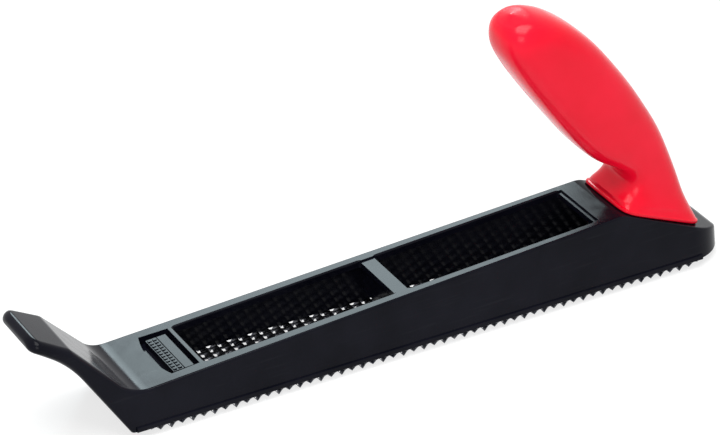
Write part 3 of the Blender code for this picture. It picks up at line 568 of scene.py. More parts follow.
def front_corner(height):
    """The front edges are tight at the toe and open out towards the horn."""
    share = min(max((height - 0.020) / 0.020, 0), 1)
    return SIDE_CORNER + (SIDE_CORNER_HORN - SIDE_CORNER) * share


def body_level(front, height, side_wall=0.0, rear_wall=0.0, corner=None):
    rear = HEEL_X - HEEL_LEAN * height - rear_wall
    half = side_half(height) - side_wall
    rear_corner = min(HEEL_CORNER - side_wall, half * 0.9)
    return plan_ring(front, rear, half, height, corner or front_corner(height), rear_corner)


def fillet(before, corner, after, radius, steps):
    """Points (x, z) of an arc that rounds a corner between two directions."""
    a = (before - corner).normalized()
    b = (after - corner).normalized()
    half = a.angle(b) / 2
    centre = corner + (a + b).normalized() * (radius / math.sin(half))
    start = corner + a * (radius / math.tan(half)) - centre
    end = corner + b * (radius / math.tan(half)) - centre
    first = math.atan2(start.y, start.x)
    sweep = (math.atan2(end.y, end.x) - first + math.pi) % (2 * math.pi) - math.pi
    return arc(centre, radius, first, first + sweep, steps)


# ---------------------------------------------------------------- body
def on_rim(plan, lift):
    """Points of a plan (x, y) at a height over the sloping rim."""
    return [(x, y, rim_height(x) + lift) for x, y, *_ in plan]


def reading(points, value, given=0):
    """Reads a line of points: the other coordinate where the given one has this value."""
    for a, b in zip(points, points[1:]):
        if min(a[given], b[given]) <= value <= max(a[given], b[given]) and a[given] != b[given]:
            share = (value - a[given]) / (b[given] - a[given])
            return a[1 - given] + share * (b[1 - given] - a[1 - given])
    nearest = min((points[0], points[-1]), key=lambda point: abs(point[given] - value))
    return nearest[1 - given]


def round_off(radius, depth):
    """How far a rounded edge falls back at a depth behind the face that it leads into."""
    reach = min(max(radius - depth, 0), radius)
    return radius - math.sqrt(radius**2 - reach**2)


def top_edge(x):
    """Rounding of the upper side's edges: tight along the rim, full round the horn."""
    share = min(max((HORN_EDGE_X - x) / HORN_EDGE_RUN, 0), 1)
    return RIM_EDGE + (HORN_EDGE - RIM_EDGE) * share * share * (3 - 2 * share)


def outer_shape():
    """The body's outside: cross-sections along it, each with rounded edges."""
    under, over = underside(), upper_side()
    top_of_nose = max(range(NOSE_STEPS + 1), key=lambda k: over[k].y)
    front = [*reversed(under[:-1]), *over[1 : top_of_nose + 1]]
    tip = over[0].x
    places = {p.x for p in (*under, *over)}
    for turn in (math.radians(6 * k) for k in range(16)):
        places |= {HEEL_X - HEEL_CORNER * (1 - trig(turn)) for trig in (math.cos, math.sin)}
    places |= {tip + NOSE_RUN * (1 - math.cos(math.radians(9 * k))) for k in range(1, 11)}
    places |= {FRONT_FOOT_X + GAP * k for k in range(9)}
    stations = []
    for x in sorted(places):
        if x > tip + GAP / 10 and (not stations or x - stations[-1] > GAP / 3):
            stations.append(x)
    stations[-1] = HEEL_X
    step = 0.0001
    rings = []
    for x in stations:
        low, high = reading(under, x), reading(over, x)
        slope = (reading(under, x - step) - low) / step
        room = high - low
        upper = min(top_edge(x), room * 0.45)
        lower = min(max(front_corner(low) * slope, GAP * 2), room * 0.5)
        heights = [low + lower * (1 - math.cos(math.radians(10 * k))) for k in range(10)]
        heights += [low + lower + (room - lower - upper) * k / 3 for k in (1, 2)]
        heights += [high - upper * (1 - math.sin(math.radians(15 * k))) for k in range(7)]
        side = []
        for z in heights:
            half = side_half(z) - round_off(HEEL_CORNER, HEEL_X - x)
            half -= round_off(front_corner(z), x - reading(front, z, 1))
            half -= round_off(top_edge(x), high - z) + round_off(GAP, z - low)
            side.append((half, z))
        rings.append([(x, y, z) for y, z in side] + [(x, -y, z) for y, z in reversed(side)])
    return loft("moulded_body", rings)


def chip_well():
    """The hollow inside the walls, up to the underside of the rim and the heel."""
    rings = [body_level(PARTITION_X, z, WALL, HEEL_WALL, WALL / 2) for z in (-THROUGH, WELL_TOP)]
    hollow = loft("chip_well", rings)
    low = rim_height(PARTITION_X) - RIM_THICKNESS
    outline = [
        (PARTITION_X - THROUGH, low),
        (PARTITION_X, low),
        (RIM_KNEE_X, rim_height(RIM_KNEE_X) - RIM_THICKNESS),
        (HEEL_X, heel_height(HEEL_X) - RIM_THICKNESS),
        (HEEL_X, -2 * THROUGH),
        (PARTITION_X - THROUGH, -2 * THROUGH),
    ]
    work(hollow, [slab("below_roof", outline, FOOT_HALF * 1.2)], "INTERSECT")
    return hollow


def horn_recess():
    """The hollow under the horn, open to the front, with a web in its middle."""
    wall_x = TOE_WALL_X - TOE_WALL
    rings = []
    for height in (RECESS_FLOOR, NOSE_TOP):
        half = side_half(height) - RECESS_SIDE
        corners = ((wall_x, half), (NOSE_REACH, half), (NOSE_REACH, -half), (wall_x, -half))
        rings.append([(x, y, height) for x, y in corners])
    recess = loft("horn_recess", rings)
    ramp = PADDLE_END - Vector((math.sin(RAMP_SLOPE), math.cos(RAMP_SLOPE))) * HORN_WALL
    ceiling = rim_height(wall_x) - HORN_WALL
    top_x = ramp.x + (ramp.y - WEB_BOTTOM) / math.tan(RAMP_SLOPE)
    paddle = Vector((-math.cos(PADDLE_SLOPE), math.sin(PADDLE_SLOPE)))
    chin = horn_curve()[-1] - paddle * HORN_WALL
    outline = [(wall_x, RECESS_FLOOR), (wall_x, ceiling), (top_x, ceiling), ramp, chin]
    outline.append((chin.x, RECESS_FLOOR))
    work(recess, [slab("recess_side", outline, FOOT_HALF)], "INTERSECT")
    web = box("recess_web", (NOSE_REACH, -WEB / 2, WEB_BOTTOM), (-wall_x, WEB / 2, NOSE_TOP))
    work(recess, [web])
    return recess


def rim_ring(front, rear, half, grow, lift):
    """A round-cornered rectangle, grown outwards, at a height over the sloping rim."""
    corner = OPENING_CORNER + grow
    return on_rim(plan_ring(front - grow, rear + grow, half + grow, 0, corner, corner, 4, 4), lift)


def opening(name, front, rear, depth):
    """A cutter for an opening whose top edge is rounded."""
    levels = [(0, -depth)]
    for k in range(4):
        turn = math.radians(30 * k)
        levels.append((OPENING_EDGE * (1 - math.cos(turn)), OPENING_EDGE * (math.sin(turn) - 1)))
    levels.append((OPENING_EDGE, THROUGH))
    return loft(name, [rim_ring(front, rear, OPENING_HALF, *level) for level in levels])


def pocket():
    """The shallow pocket in front of the chip well, with a bowed front edge."""
    rear = PARTITION_X - PARTITION
    half = OPENING_HALF + POCKET_FLARE
    plan = [(rear, -OPENING_HALF), (rear, OPENING_HALF)]
    for i in range(POCKET_STEPS + 1):
        share = 1 - 2 * i / POCKET_STEPS
        plan.append((POCKET_FRONT_X - POCKET_RUN - POCKET_BULGE * (1 - share**2), half * share))
    return loft("pocket", [on_rim(plan, lift) for lift in (-POCKET_DEPTH, THROUGH)])


def pocket_plates():
    """The two raised plates on the pocket's floor."""
    plates = []
    for front, length in PLATES:
        half, rear = PLATE_HALF, front + length
        corners = ((front, half), (front, -half), (rear, -half), (rear, half))
        lifts = (-POCKET_DEPTH - POCKET_FLOOR / 2, -PLATE_DROP)
        plates.append(loft("plate", [on_rim(corners, lift) for lift in lifts]))
    return plates


def inner_ribs():
    """Cross rib under the bar, slider guides in the toe and the ribs that hold the anchor pin."""
    middle = (BAR_FRONT_X + BAR_REAR_X) / 2
    reach = side_half(BAR_RIB_BOTTOM) - WALL
    high = (middle + BAR_RIB / 2, reach, rim_height(middle) - RIM_THICKNESS / 2)
    ribs = [box("bar_rib", (middle - BAR_RIB / 2, -reach, BAR_RIB_BOTTOM), high)]
    guide_top = rim_height(POCKET_FRONT_X) - POCKET_DEPTH - POCKET_FLOOR / 2
    for side in (-1, 1):
        near, far = sorted((side * (SLIDER_HALF + GAP), side * (SLIDER_HALF + GAP + GUIDE)))
        low = (TOE_WALL_X - GAP, near, GUIDE_BOTTOM)
        ribs.append(box("guide", low, (PARTITION_X - PARTITION / 2, far, guide_top)))
        front, rear = pin_x() - RIB_LENGTH / 2, pin_x() + RIB_LENGTH / 2
        roof = [(x, heel_height(x) - RIM_THICKNESS / 2) for x in (rear, front)]
        rib = slab("pin_rib", [(front, RIB_BOTTOM), (rear, RIB_BOTTOM), *roof], RIB_THICKNESS / 2)
        rib.data.transform(Matrix.Translation((0, side * (RIB_INNER + RIB_THICKNESS / 2), 0)))
        ribs.append(rib)
    return ribs


def pin_x():
    return FLAT_END + BEND - SHEET - GAP - PIN_RADIUS


def body_holes():
    """Pin seats, the tension screw's hole and the grip screws' holes."""
    x, seat = pin_x(), PIN_RADIUS + RUN_GAP
    width = RIB_INNER + RIB_THICKNESS + RIB_SLOT_REACH
    holes = [
        box("pin_slot", (x - seat, -width, -THROUGH), (x + seat, width, PIN_HEIGHT)),
        rod("pin_seat", (x, -width, PIN_HEIGHT), (x, width, PIN_HEIGHT), seat),
        rod(
            "screw_hole",
            (TOE_WALL_X - TOE_WALL - THROUGH, 0, SCREW_HEIGHT),
            (TOE_WALL_X + THROUGH, 0, SCREW_HEIGHT),
            SCREW_RADIUS + RUN_GAP,
        ),
    ]
    for x in GRIP_SCREW_X:
        seat = Vector((x, 0, heel_height(x)))
        start = seat - HEEL_NORMAL * (RIM_THICKNESS + THROUGH / 2)
        hole = GRIP_SCREW_RADIUS + RUN_GAP
        holes.append(rod("grip_hole", start, seat + HEEL_NORMAL * THROUGH, hole))
    return holes


def shoe(side):
    """The strip that stands proud along the foot of a side wall."""
    top = BODY_BASE + SHOE_HEIGHT
    inner = side_half(top) - SHOE_ROOT
    outer = side_half(BODY_BASE) + SHOE_PROUD
    section = [
        (inner, BODY_BASE),
        (outer - SHOE_PROUD * 0.3, BODY_BASE),
        (outer, BODY_BASE + SHOE_PROUD * 0.3),
        (outer, top - SHOE_PROUD),
        (outer - SHOE_PROUD * 0.3, top - SHOE_PROUD * 0.5),
        (inner, top),
    ]
    return loft("shoe", [[(x, side * y, z) for y, z in section] for x in (SHOE_FRONT_X, SHOE_REAR_X)])


# ---------------------------------------------------------------- repeated shapes
WELD = 0.00002  # points this near become one


def make_tree(name, inputs):
    """A Geometry Nodes tree with named inputs: the tree, their identifiers and their sockets."""
    tree = bpy.data.node_groups.new(name, "GeometryNodeTree")
    keys = {}
    for label, kind in inputs.items():
        socket = tree.interface.new_socket(label, in_out="INPUT", socket_type="NodeSocket" + kind)
        keys[label] = socket.identifier
    tree.interface.new_socket("Geometry", in_out="OUTPUT", socket_type="NodeSocketGeometry")
    return tree, keys, add(tree, "NodeGroupInput").outputs


def grid_of(tree, shape, columns, rows, pitch, row_pitch):
    """Puts the shape on every point of a grid centred on the origin."""
    sides = {"Vertices X": columns, "Vertices Y": rows}
    for label, count, step in (("Size X", columns, pitch), ("Size Y", rows, row_pitch)):
        sides[label] = maths(tree, "MULTIPLY", maths(tree, "SUBTRACT", count, 1), step)
    points = add(tree, "GeometryNodeMeshGrid", sides).outputs["Mesh"]
    source = add(tree, "GeometryNodeObjectInfo", {"Object": shape}, transform_space="ORIGINAL")
    inputs = {"Points": points, "Instance": source.outputs["Geometry"]}
    return add(tree, "GeometryNodeInstanceOnPoints", inputs).outputs["Instances"]


def close_tree(tree, parts, material, weld):
    """Joins the parts, makes them real, welds what meets and gives them their material."""
    join = add(tree, "GeometryNodeJoinGeometry")
    for part in parts:
        tree.links.new(part, join.inputs["Geometry"])
    shape = join.outputs["Geometry"]
    for kind, inputs in (
        ("GeometryNodeRealizeInstances", {}),
        ("GeometryNodeMergeByDistance", {"Distance": weld}),
        ("GeometryNodeSetMaterial", {"Material": material}),
    ):
        shape = add(tree, kind, {"Geometry": shape, **inputs}).outputs["Geometry"]
    add(tree, "NodeGroupOutput", {"Geometry": shape})


def grown(name, tree, keys, values):
    """The plain mesh that a tree makes with these values for its named inputs."""
    obj = linked(name, bpy.data.meshes.new(name))
    modifier = obj.modifiers.new(name, "NODES")
    modifier.node_group = tree
    for label, value in values.items():
        modifier[keys[label]] = value
    settle(obj)
    return obj


# ---------------------------------------------------------------- whole body
def pocket_relief():
    """Rows of small raised blocks on the wider plate."""
    bm = bmesh.new()
    bmesh.ops.create_cube(bm, size=1, matrix=Matrix.Diagonal((*RELIEF_BLOCK, 1)))
    block = solid(bm, "relief_block")
    inputs = {"Block": "Object", "Columns": "Int", "Rows": "Int", "Pitch": "Float", "Row pitch": "Float"}
    tree, keys, entry = make_tree("pocket_relief", inputs)
    blocks = grid_of(tree, *[entry[label] for label in inputs])
    close_tree(tree, [blocks], BLACK, WELD / 2)
    values = dict(zip(inputs, (block, *RELIEF_COUNT, *RELIEF_PITCH)))
    relief = grown("relief", tree, keys, values)
    bpy.data.objects.remove(block)
    front, length = PLATES[0]
    middle = front + length / 2
    turn = Matrix.Rotation(-math.atan(RIM_SLOPE), 4, "Y")
    relief.data.transform(Matrix.Translation((middle, 0, rim_height(middle) - PLATE_DROP)) @ turn)
    return relief


def sunk_rim(name, start, end, drop):
    """A cutter that lowers the rim a little between two places along it."""
    corners = ((start, -drop), (end, -drop), (end, THROUGH), (start, THROUGH))
    return slab(name, [(x, rim_height(x) + lift) for x, lift in corners], OPENING_HALF)


def make_body():
    body = outer_shape()
    work(body, [shoe(-1), shoe(1)], "UNION")
    work(body, [chip_well()])
    work(body, [horn_recess()])
    toe_top = rim_height(POCKET_FRONT_X) - POCKET_DEPTH - POCKET_FLOOR
    toe = box("toe", (TOE_WALL_X, -TOE_HALF, -THROUGH), (PARTITION_X - PARTITION, TOE_HALF, toe_top))
    front = opening("front_opening", PARTITION_X, BAR_FRONT_X, RIM_THICKNESS * 2)
    rear = opening("rear_opening", BAR_REAR_X, OPENING_REAR_X, RIM_THICKNESS * 2)
    work(body, [front, rear, pocket(), toe])
    sunk = [
        sunk_rim("bar_top", BAR_FRONT_X - OPENING_EDGE * 2, BAR_REAR_X + OPENING_EDGE * 2, BAR_DROP),
        sunk_rim("rear_lip", OPENING_REAR_X - OPENING_EDGE, OPENING_REAR_X + LIP_WIDTH, LIP_DROP),
    ]
    work(body, sunk)
    work(body, pocket_plates(), "UNION")
    work(body, [pocket_relief()], "UNION")
    work(body, inner_ribs(), "UNION")
    work(body, body_holes())
    even_shading(body, Vector((-RIM_SLOPE, 0, 1)).normalized())
    finish_piece(body, BLACK, "tool", ["body_shell"], None)


# ---------------------------------------------------------------- blade
TOOTH_X = (-0.5, -0.42, -0.02, 0.14, 0.30, 0.5)  # shares of a column: gap edge, lip, back slope
TOOTH_DEPTH = (0, 0, 1, 0.60, 0.20, 0)
LIP = 2  # which of those is the cutting lip


def cell(name, ys, reach, open_rows, sign=1):
    """One tooth of the strip with the sheet round it.

    ys are the widths of its strips, reach says how deep the tooth is at each of them, and
    open_rows are the strips that the gap in front of the lip runs through.
    """
    bm = bmesh.new()
    grid = {}
    for i, (share, depth) in enumerate(zip(TOOTH_X, TOOTH_DEPTH)):
        for j, (y, deep) in enumerate(zip(ys, reach)):
            x = share * COLUMN
            if i == 1 and j not in open_rows and j - 1 not in open_rows and deep == 0:
                x = (TOOTH_X[1] + TOOTH_X[LIP]) / 2 * COLUMN
            low = STRIP_LOW - (TOOTH_DROP + STRIP_LOW) * depth * deep
            thick = SHEET - STRIP_LOW
            if i == LIP:
                thick *= 1 - 0.45 * deep
            for level, z in enumerate((low, low + thick)):
                grid[i, j, level] = bm.verts.new((x, sign * y, z))
    for i in range(len(TOOTH_X) - 1):
        for j in range(len(ys) - 1):
            gap = i == LIP - 1 and j in open_rows
            square = ((i, j), (i + 1, j), (i + 1, j + 1), (i, j + 1))
            if not gap:
                top = [grid[a, b, 1] for a, b in square]
                under = [grid[a, b, 0] for a, b in reversed(square)]
                for face in (top, under):
                    bm.faces.new(face if sign > 0 else list(reversed(face)))
    walls = []
    for j in open_rows:
        walls += [((LIP - 1, j + 1), (LIP - 1, j)), ((LIP, j), (LIP, j + 1))]
    if open_rows:
        first, last = open_rows[0], open_rows[-1] + 1
        walls += [((LIP - 1, first), (LIP, first)), ((LIP, last), (LIP - 1, last))]
    if ys[-1] == BLADE_HALF:
        last = len(ys) - 1
        walls += [((i + 1, last), (i, last)) for i in range(len(TOOTH_X) - 1)]
    for (a, b), (c, d) in walls:
        face = [grid[a, b, 0], grid[a, b, 1], grid[c, d, 1], grid[c, d, 0]]
        bm.faces.new(face if sign > 0 else list(reversed(face)))
    return linked(name, drawn(bm, name))


def blade_edges():
    """Where strips meet the blade's long edge, from the last full row outwards."""
    last_even = ROW * BLADE_ROWS / 2
    return last_even, (last_even + BLADE_HALF) / 2, BLADE_HALF


def toothed_strip():
    """The perforated strip: staggered teeth over the whole width and larger ones along both edges."""
    step = ROW / 6
    ys = [step * k for k in range(-3, 4)]
    depths = [INNER_DEPTH * deep for deep in (0, 0.25, 0.88, 1, 0.88, 0.25, 0)]
    inner = cell("tooth_cell", ys, depths, (1, 2, 3, 4))
    last, middle, edge = blade_edges()
    wide = [last - step * 3, last - step * 2, last - step, last, middle, edge]
    shapes = {"Cell": inner}
    for side, label in ((-1, "near"), (1, "far")):
        shapes[f"Large {label} cell"] = cell(
            f"large_{label}_cell", wide, (0, 0.3, 0.9, 1, 1, 0.97), (1, 2, 3), side
        )
        shapes[f"Small {label} cell"] = cell(
            f"small_{label}_cell", [last, middle, edge], (0, 0.5, 0.72), (), side
        )
    inputs = {label: "Object" for label in shapes} | {"Pitch": "Float", "Row pitch": "Float"}
    inputs |= {"Even columns": "Int", "Rows": "Int", "Edge row": "Int"}
    tree, keys, entry = make_tree("toothed_strip", inputs)
    pitch, row_pitch = entry["Pitch"], entry["Row pitch"]
    even, rows, single = entry["Even columns"], entry["Rows"], entry["Edge row"]
    odd = maths(tree, "SUBTRACT", even, 1)
    fewer = maths(tree, "SUBTRACT", rows, 1)
    grids = [("Cell", even, rows), ("Cell", odd, fewer)]
    for label in ("near", "far"):
        grids += [(f"Large {label} cell", odd, single), (f"Small {label} cell", even, single)]
    parts = [grid_of(tree, entry[label], *counts, pitch, row_pitch) for label, *counts in grids]
    close_tree(tree, parts, STEEL, WELD)
    values = {**shapes, "Pitch": COLUMN * 2, "Row pitch": ROW, "Rows": BLADE_ROWS, "Edge row": 1}
    values["Even columns"] = (COLUMNS + 1) // 2
    strip = grown("toothed_blade", tree, keys, values)
    for shape in shapes.values():
        bpy.data.objects.remove(shape)
    return strip


def bent(centre, spokes):
    """(outer, inner) pairs of a bend in the sheet round a centre."""
    return [(tuple(centre + spoke * BEND), tuple(centre + spoke * (BEND - SHEET))) for spoke in spokes]


def tab_path(end, hooked):
    """(outer, inner) pairs of (x, z) from the strip's end up the tab, and over the pin if it is hooked."""
    start = end * FLAT_END
    turns = [math.radians(18 * k) for k in range(6)]
    bend = bent(Vector((start, BEND)), [Vector((end * math.sin(a), -math.cos(a))) for a in turns[1:]])
    face = start + end * BEND
    inside = face - end * SHEET
    path = [*bend, ((face, FORK_ROOT), (inside, FORK_ROOT))]
    if not hooked:
        return [*path, ((face, TAB_TOP), (inside, TAB_TOP))]
    centre = Vector((face - end * BEND, TAB_TOP - BEND))
    path += bent(centre, [Vector((end * math.cos(a), math.sin(a))) for a in turns])
    tip = face - end * HOOK_REACH
    path.append(((tip, TAB_TOP), (tip, TAB_TOP - SHEET)))
    return path


def blade_end(end, hooked):
    """The plain end of the strip with its tab: a fork round the screw, or a hook over the pin."""
    last, middle, edge = blade_edges()
    step = ROW / 6
    steps = round(last / step)
    ys = [-edge, -middle, *[step * k for k in range(-steps, steps + 1)], middle, edge]
    tab, fork = step * 18, step * 4
    start = (COLUMNS / 2 * COLUMN) * end
    flat = [((start, STRIP_LOW), (start, SHEET)), ((end * FLAT_END, 0), (end * FLAT_END, SHEET))]
    bend = tab_path(end, hooked)
    bm = bmesh.new()
    columns = [[tuple(bm.verts.new((x, y, z)) for x, z in pair) for pair in [*flat, *bend]] for y in ys]
    reach = []
    for a, b in zip(ys, ys[1:]):
        centre = (a + b) / 2
        if abs(centre) > tab:
            reach.append(1)
        elif abs(centre) < fork and not hooked:
            reach.append(len(bend))
        else:
            reach.append(len(bend) + 1)
    for (left, right), count in zip(zip(columns, columns[1:]), reach):
        for k in range(count):
            for level in (0, 1):
                bm.faces.new((left[k][level], right[k][level], right[k + 1][level], left[k + 1][level]))
        bm.faces.new((left[count][0], right[count][0], right[count][1], left[count][1]))
    for column, before, after in zip(columns, [0, *reach], [*reach, 0]):
        for k in range(min(before, after), max(before, after)):
            bm.faces.new((column[k][0], column[k + 1][0], column[k + 1][1], column[k][1]))
    loose = [v for v in bm.verts if not v.link_faces]
    bmesh.ops.delete(bm, geom=loose, context="VERTS")
    return drawn(bm, "blade_end")


def make_blade():
    strip = toothed_strip()
    bm = bmesh.new()
    bm.from_mesh(strip.data)
    for end, hooked in ((1, True), (-1, False)):
        bm.from_mesh(blade_end(end, hooked))
    bmesh.ops.remove_doubles(bm, verts=bm.verts, dist=WELD)
    bmesh.ops.recalc_face_normals(bm, faces=bm.faces)
    bm.to_mesh(strip.data)
    bm.free()
    finish_piece(strip, STEEL, "tool", ["rasp_blade"], 40)


# ---------------------------------------------------------------- grip
def grip_ring(front, back, half, squareness):
    """A section through the grip: a super-ellipse between its front and back points (x, z)."""
    middle, reach = (front + back) / 2, (back - front) / 2
    power = 2 / squareness
    ring = []
    for i in range(GRIP_SIDES):
        angle = 2 * math.pi * (i + 0.5) / GRIP_SIDES
        c, s = math.cos(angle), math.sin(angle)
        point = middle + reach * math.copysign(abs(c) ** power, c)
        ring.append((point.x, math.copysign(abs(s) ** power, s) * half, point.y))
    return ring


def between(t, p, q, r, s):
    """A smooth curve's value from q at t = 0 to r at t = 1, with p before it and s after it."""
    return q + t * ((r - p) / 2 + t * (p - 2.5 * q + 2 * r - s / 2 + t * (1.5 * (q - r) + (s - p) / 2)))


def smooth_between(stations, steps):
    """Stations set closely along a smooth curve through the given ones."""
    rows = [(*front, *back, half, squareness) for front, back, half, squareness in stations]
    padded = [rows[0], *rows, rows[-1]]
    fine = []
    for a, b, c, d in zip(padded, padded[1:], padded[2:], padded[3:]):
        for k in range(steps):
            t = k / steps
            fine.append([between(t, *values) for values in zip(a, b, c, d)])
    fine.append(list(rows[-1]))
    return [(Vector(row[:2]), Vector(row[2:4]), row[4], row[5]) for row in fine]


def below_crown(station):
    """Keeps a station of the dome under the crown."""
    front, back, half, squareness = station
    over = max(front.y, back.y) - GRIP_CROWN.y
    drop = Vector((0, max(over + 0.0001, 0)))
    return front - drop, back - drop, half, squareness


def make_grip():
    front, back = [Vector((x, heel_height(x))) + HEEL_UP * GAP for x in (GRIP_FRONT_X, GRIP_REAR_X)]
    last_front, last_back, last_half, _ = GRIP_STATIONS[-1]
    middle = (Vector(last_front) + Vector(last_back)) / 2
    dome = []
    for share in DOME_SHARES:
        lift = (GRIP_CROWN - middle) * (1 - share**2)
        ends = [tuple(middle + (Vector(p) - middle) * share + lift) for p in (last_front, last_back)]
        dome.append((*ends, last_half * share, 2.1))
    stations = [below_crown(station) for station in smooth_between([*GRIP_STATIONS, *dome], 5)]
    inset, brim = (back - front).normalized() * BRIM, HEEL_UP * BRIM
    foot = []
    for up, back_in, slim, square in BRIM_STATIONS:
        lift, step = brim * up, inset * back_in
        foot.append((front + lift + step, back + lift - step, GRIP_FOOT_HALF - slim, square))
    rings = [grip_ring(*station) for station in (*foot, *stations)]
    grip = loft("red_grip", rings, (GRIP_CROWN.x, 0, GRIP_CROWN.y))
    finish_piece(grip, RED, "tool", ["handle_grip"], 50)


# ---------------------------------------------------------------- screws and small parts
def turned(name, profile, base, axis, sides=ROUND_SIDES, pitch=1):
    """A closed solid turned about an axis.

    Each row of the profile gives the distance along the axis, the radius, and how deep a thread
    of this pitch is cut there.
    """
    turn = upright_to(Vector(axis).normalized())
    rings = []
    for along, radius, depth in profile:
        ring = []
        for i in range(sides):
            angle = 2 * math.pi * i / sides
            crest = abs((along / pitch - i / sides) % 1 * 2 - 1)
            r = radius - depth * (1 - crest)
            ring.append(Vector(base) + turn @ Vector((r * math.cos(angle), r * math.sin(angle), along)))
        rings.append(ring)
    return loft(name, rings)


def pan_screw(name, face, axis, radius, length, pitch, point):
    """A pan head screw with a cross recess and a rolled thread. face lies under the head."""
    rows = []
    for k in range(9):
        lift = math.radians(90 * k / 8)
        along = -HEAD_HEIGHT * (0.35 + 0.65 * math.cos(lift))
        rows.append((along, HEAD_RADIUS * (0.42 + 0.58 * math.sin(lift)), 0))
    rows += [(-0.0001, HEAD_RADIUS, 0), (0, HEAD_RADIUS - 0.0001, 0), (0.00001, radius * 1.02, 0)]
    rows.append((NECK, radius, 0))
    count = round((length - NECK) / (pitch / 6))
    for k in range(1, count + 1):
        along = NECK + (length - NECK) * k / count
        taper = min(1, (length - along) / point) if point else 1
        rows.append((along, radius * (0.30 + 0.70 * taper), 0.12 * radius))
    screw = turned(name, rows, face, axis, 32, pitch)
    place = Matrix.Translation(face) @ upright_to(Vector(axis).normalized()).to_4x4()
    slots = []
    for x, y in (RECESS, RECESS[::-1]):
        slot = box("cross_recess", (-x, -y, -HEAD_HEIGHT * 2), (x, y, -HEAD_HEIGHT * 0.45))
        slot.data.transform(place)
        slots.append(slot)
    work(screw, slots)
    return screw


def washer(name, face, axis, hole):
    """A flat washer with broken edges, lying on face on the side that axis points away from."""
    edge = WASHER_EDGE
    outer = [(-WASHER, -edge), (-WASHER + edge, 0), (-edge, 0), (0, -edge)]
    ring = turned(name, [(along, WASHER_RADIUS + inset, 0) for along, inset in outer], face, axis, 48)
    far = Vector(axis).normalized() * THROUGH
    work(ring, [rod("hole", Vector(face) - far, Vector(face) + far, hole)])
    return ring


def soften(obj, width, segments=2):
    bevel = obj.modifiers.new("soften", "BEVEL")
    bevel.width = width
    bevel.segments = segments
    bevel.limit_method = "ANGLE"
    bevel.angle_limit = math.radians(40)
    settle(obj)


def cad_box(node):
    """The low and high corners of a CAD node, from the middle of the blade."""
    return [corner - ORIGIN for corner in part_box(node)]


def make_tensioner():
    inward = Vector((1, 0, 0))
    seat = TOE_WALL_X - TOE_WALL - GAP
    ring = washer("screw_ring", (seat, 0, SCREW_HEIGHT), inward, SCREW_RADIUS + RUN_GAP)
    finish_piece(ring, ZINC, "tool", ["screw_washer"])
    face = Vector((seat - WASHER - GAP, 0, SCREW_HEIGHT))
    length = cad_box("tension_screw")[1].x - face.x
    screw = pan_screw("blade_tension_screw", face, inward, SCREW_RADIUS, length, SCREW_PITCH, 0)
    finish_piece(screw, ZINC, "screw", ["tension_screw"])
    nut_low, nut_high = cad_box("square_nut")
    nut = box("nut_block", nut_low, nut_high)
    soften(nut, NUT_EDGE)
    middle = (nut_low + nut_high) / 2
    reach = inward * THROUGH
    work(nut, [rod("thread", middle - reach, middle + reach, SCREW_RADIUS + RUN_GAP)])
    finish_piece(nut, ZINC, "slider", ["square_nut"])
    low, high = cad_box("tension_slider")
    slider = box("slider_block", low, high)
    soften(slider, SLIDER_EDGE, 3)
    room = Vector((RUN_GAP, RUN_GAP, RUN_GAP))
    room_low = nut_low - room
    room_low.z = low.z - THROUGH
    ends = [Vector((x, 0, SCREW_HEIGHT)) for x in (low.x - THROUGH, high.x + THROUGH)]
    work(slider, [box("nut_room", room_low, nut_high + room), rod("bore", *ends, SCREW_RADIUS + GAP)])
    finish_piece(slider, CASTING, "slider", ["tension_slider"])


def make_anchor_pin():
    low, high = cad_box("anchor_pin")
    radius, length = (high.x - low.x) / 2, high.y - low.y
    slim = radius - PIN_EDGE
    outline = [(0, slim), (PIN_EDGE, radius), (length - PIN_EDGE, radius), (length, slim)]
    base = ((low.x + high.x) / 2, low.y, (low.z + high.z) / 2)
    pin = turned("blade_anchor_pin", [(*row, 0) for row in outline], base, (0, 1, 0))
    finish_piece(pin, ZINC, "tool", ["anchor_pin"])


def make_grip_screws():
    tilt = math.cos(math.atan(HEEL_FALL))
    for name, x in zip(("front", "rear"), GRIP_SCREW_X):
        under = Vector((x, 0, heel_height(x))) - HEEL_NORMAL * (RIM_THICKNESS * tilt + GAP)
        ring = washer(f"grip_ring_{name}", under, HEEL_NORMAL, GRIP_SCREW_RADIUS + RUN_GAP)
        finish_piece(ring, ZINC, "tool", [f"grip_washer_{name}"])
        face = under - HEEL_NORMAL * (WASHER + GAP)
        screw = pan_screw(f"grip_fixing_{name}", face, HEEL_NORMAL, *GRIP_SCREW)
        finish_piece(screw, ZINC, "tool", [f"grip_screw_{name}"])


# ---------------------------------------------------------------- studio
FLOOR_DROP = 0.0002  # keeps the floor clear of the feet
FLOOR_GREY = 0.72  # what lit surfaces receive from it
FLOOR_SHADE = 0.30  # how much shadows show on it
FLOOR_GLOW = 0.72  # its even white
WORLD_LIGHT = 0.45  # strength as light; seen directly it is 1
CAMERA_AIM = Vector((-0.0207, 0, 0.05177))
CAMERA_DISTANCE = 1.3319
CAMERA_LENS = 173.4
CAMERA_TURNS = (-28.20, 30.05, -1.03)  # azimuth, elevation and roll in degrees


def diffuse(tree, grey):
    return add(tree, "ShaderNodeBsdfDiffuse", {"Color": (grey, grey, grey, 1)}).outputs[0]


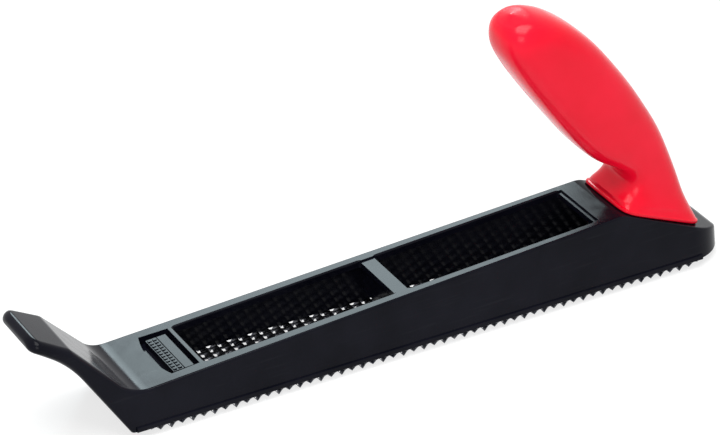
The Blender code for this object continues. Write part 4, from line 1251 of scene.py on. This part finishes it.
def make_floor():
    """A pale floor, nearly white to the camera and to reflections, that can be seen through from below."""
    bm = bmesh.new()
    bmesh.ops.create_grid(bm, x_segments=1, y_segments=1, size=6)
    floor = linked("floor", drawn(bm, "floor"))
    floor.location.z = -FLOOR_DROP
    material = bpy.data.materials.new("pale_floor")
    material.use_nodes = True
    tree = material.node_tree
    tree.nodes.clear()
    glow = add(tree, "ShaderNodeEmission", {"Strength": FLOOR_GLOW}).outputs[0]
    clear = add(tree, "ShaderNodeBsdfTransparent").outputs[0]
    plain, shadowed = diffuse(tree, FLOOR_GREY), diffuse(tree, FLOOR_SHADE)
    seen = mixed(tree, "ShaderNodeAddShader", shadowed, glow)
    above = mixed(tree, "ShaderNodeMixShader", seen_directly(tree), plain, seen)
    below = add(tree, "ShaderNodeNewGeometry").outputs["Backfacing"]
    both = mixed(tree, "ShaderNodeMixShader", below, above, clear)
    add(tree, "ShaderNodeOutputMaterial", {"Surface": both})
    floor.data.materials.append(material)


def seen_directly(tree):
    """1 where the camera, a reflection or a view through glass sees the surface."""
    path = add(tree, "ShaderNodeLightPath").outputs
    seen = maths(tree, "MAXIMUM", path["Is Camera Ray"], path["Is Glossy Ray"])
    return maths(tree, "MAXIMUM", seen, path["Is Transmission Ray"])


def make_world():
    world = bpy.data.worlds.new("studio")
    world.use_nodes = True
    tree = world.node_tree
    background = tree.nodes["Background"].inputs
    background["Color"].default_value = (1, 1, 1, 1)
    inputs = {"Value": seen_directly(tree), "To Min": WORLD_LIGHT, "To Max": 1}
    feed(tree, background["Strength"], add(tree, "ShaderNodeMapRange", inputs).outputs["Result"])
    bpy.context.scene.world = world


def softbox(name, place, target, width, height, power, colour=(1, 1, 1)):
    data = bpy.data.lights.new(name, "AREA")
    data.shape = "RECTANGLE"
    data.size = width
    data.size_y = height
    data.energy = power
    data.color = colour
    lamp = linked(name, data)
    lamp.location = place
    lamp.rotation_euler = (Vector(place) - Vector(target)).to_track_quat("Z", "Y").to_euler()


def make_lights():
    middle = (0, 0, 0.04)
    softbox("overhead", (-0.25, -0.25, 1.5), middle, 1.1, 1.1, 23)
    softbox("front", (-1.0, -1.3, 0.8), middle, 0.9, 0.9, 8)
    softbox("back", (0.48, 1.15, 0.87), middle, 0.42, 0.6, 8, (0.78, 0.95, 1.0))


def make_camera():
    azimuth, elevation, roll = [math.radians(turn) for turn in CAMERA_TURNS]
    flat = math.cos(elevation)
    back = Vector((math.sin(azimuth) * flat, -math.cos(azimuth) * flat, math.sin(elevation)))
    level = Vector((math.cos(azimuth), math.sin(azimuth), 0))
    upright = back.cross(level)
    right = level * math.cos(roll) + upright * math.sin(roll)
    up = upright * math.cos(roll) - level * math.sin(roll)
    place = CAMERA_AIM + ORIGIN + back * CAMERA_DISTANCE
    data = bpy.data.cameras.new("camera")
    data.sensor_width = 36
    data.lens = CAMERA_LENS
    data.clip_start = 0.1
    camera = linked("camera", data)
    turn = Matrix((right, up, back)).transposed()
    camera.matrix_world = Matrix.Translation(place) @ turn.to_4x4()
    bpy.context.scene.camera = camera


def main():
    make_camera()
    make_world()
    make_lights()
    make_floor()
    make_body()
    make_blade()
    make_grip()
    make_tensioner()
    make_anchor_pin()
    make_grip_screws()
    bpy.context.scene.view_settings.view_transform = "Standard"


main()
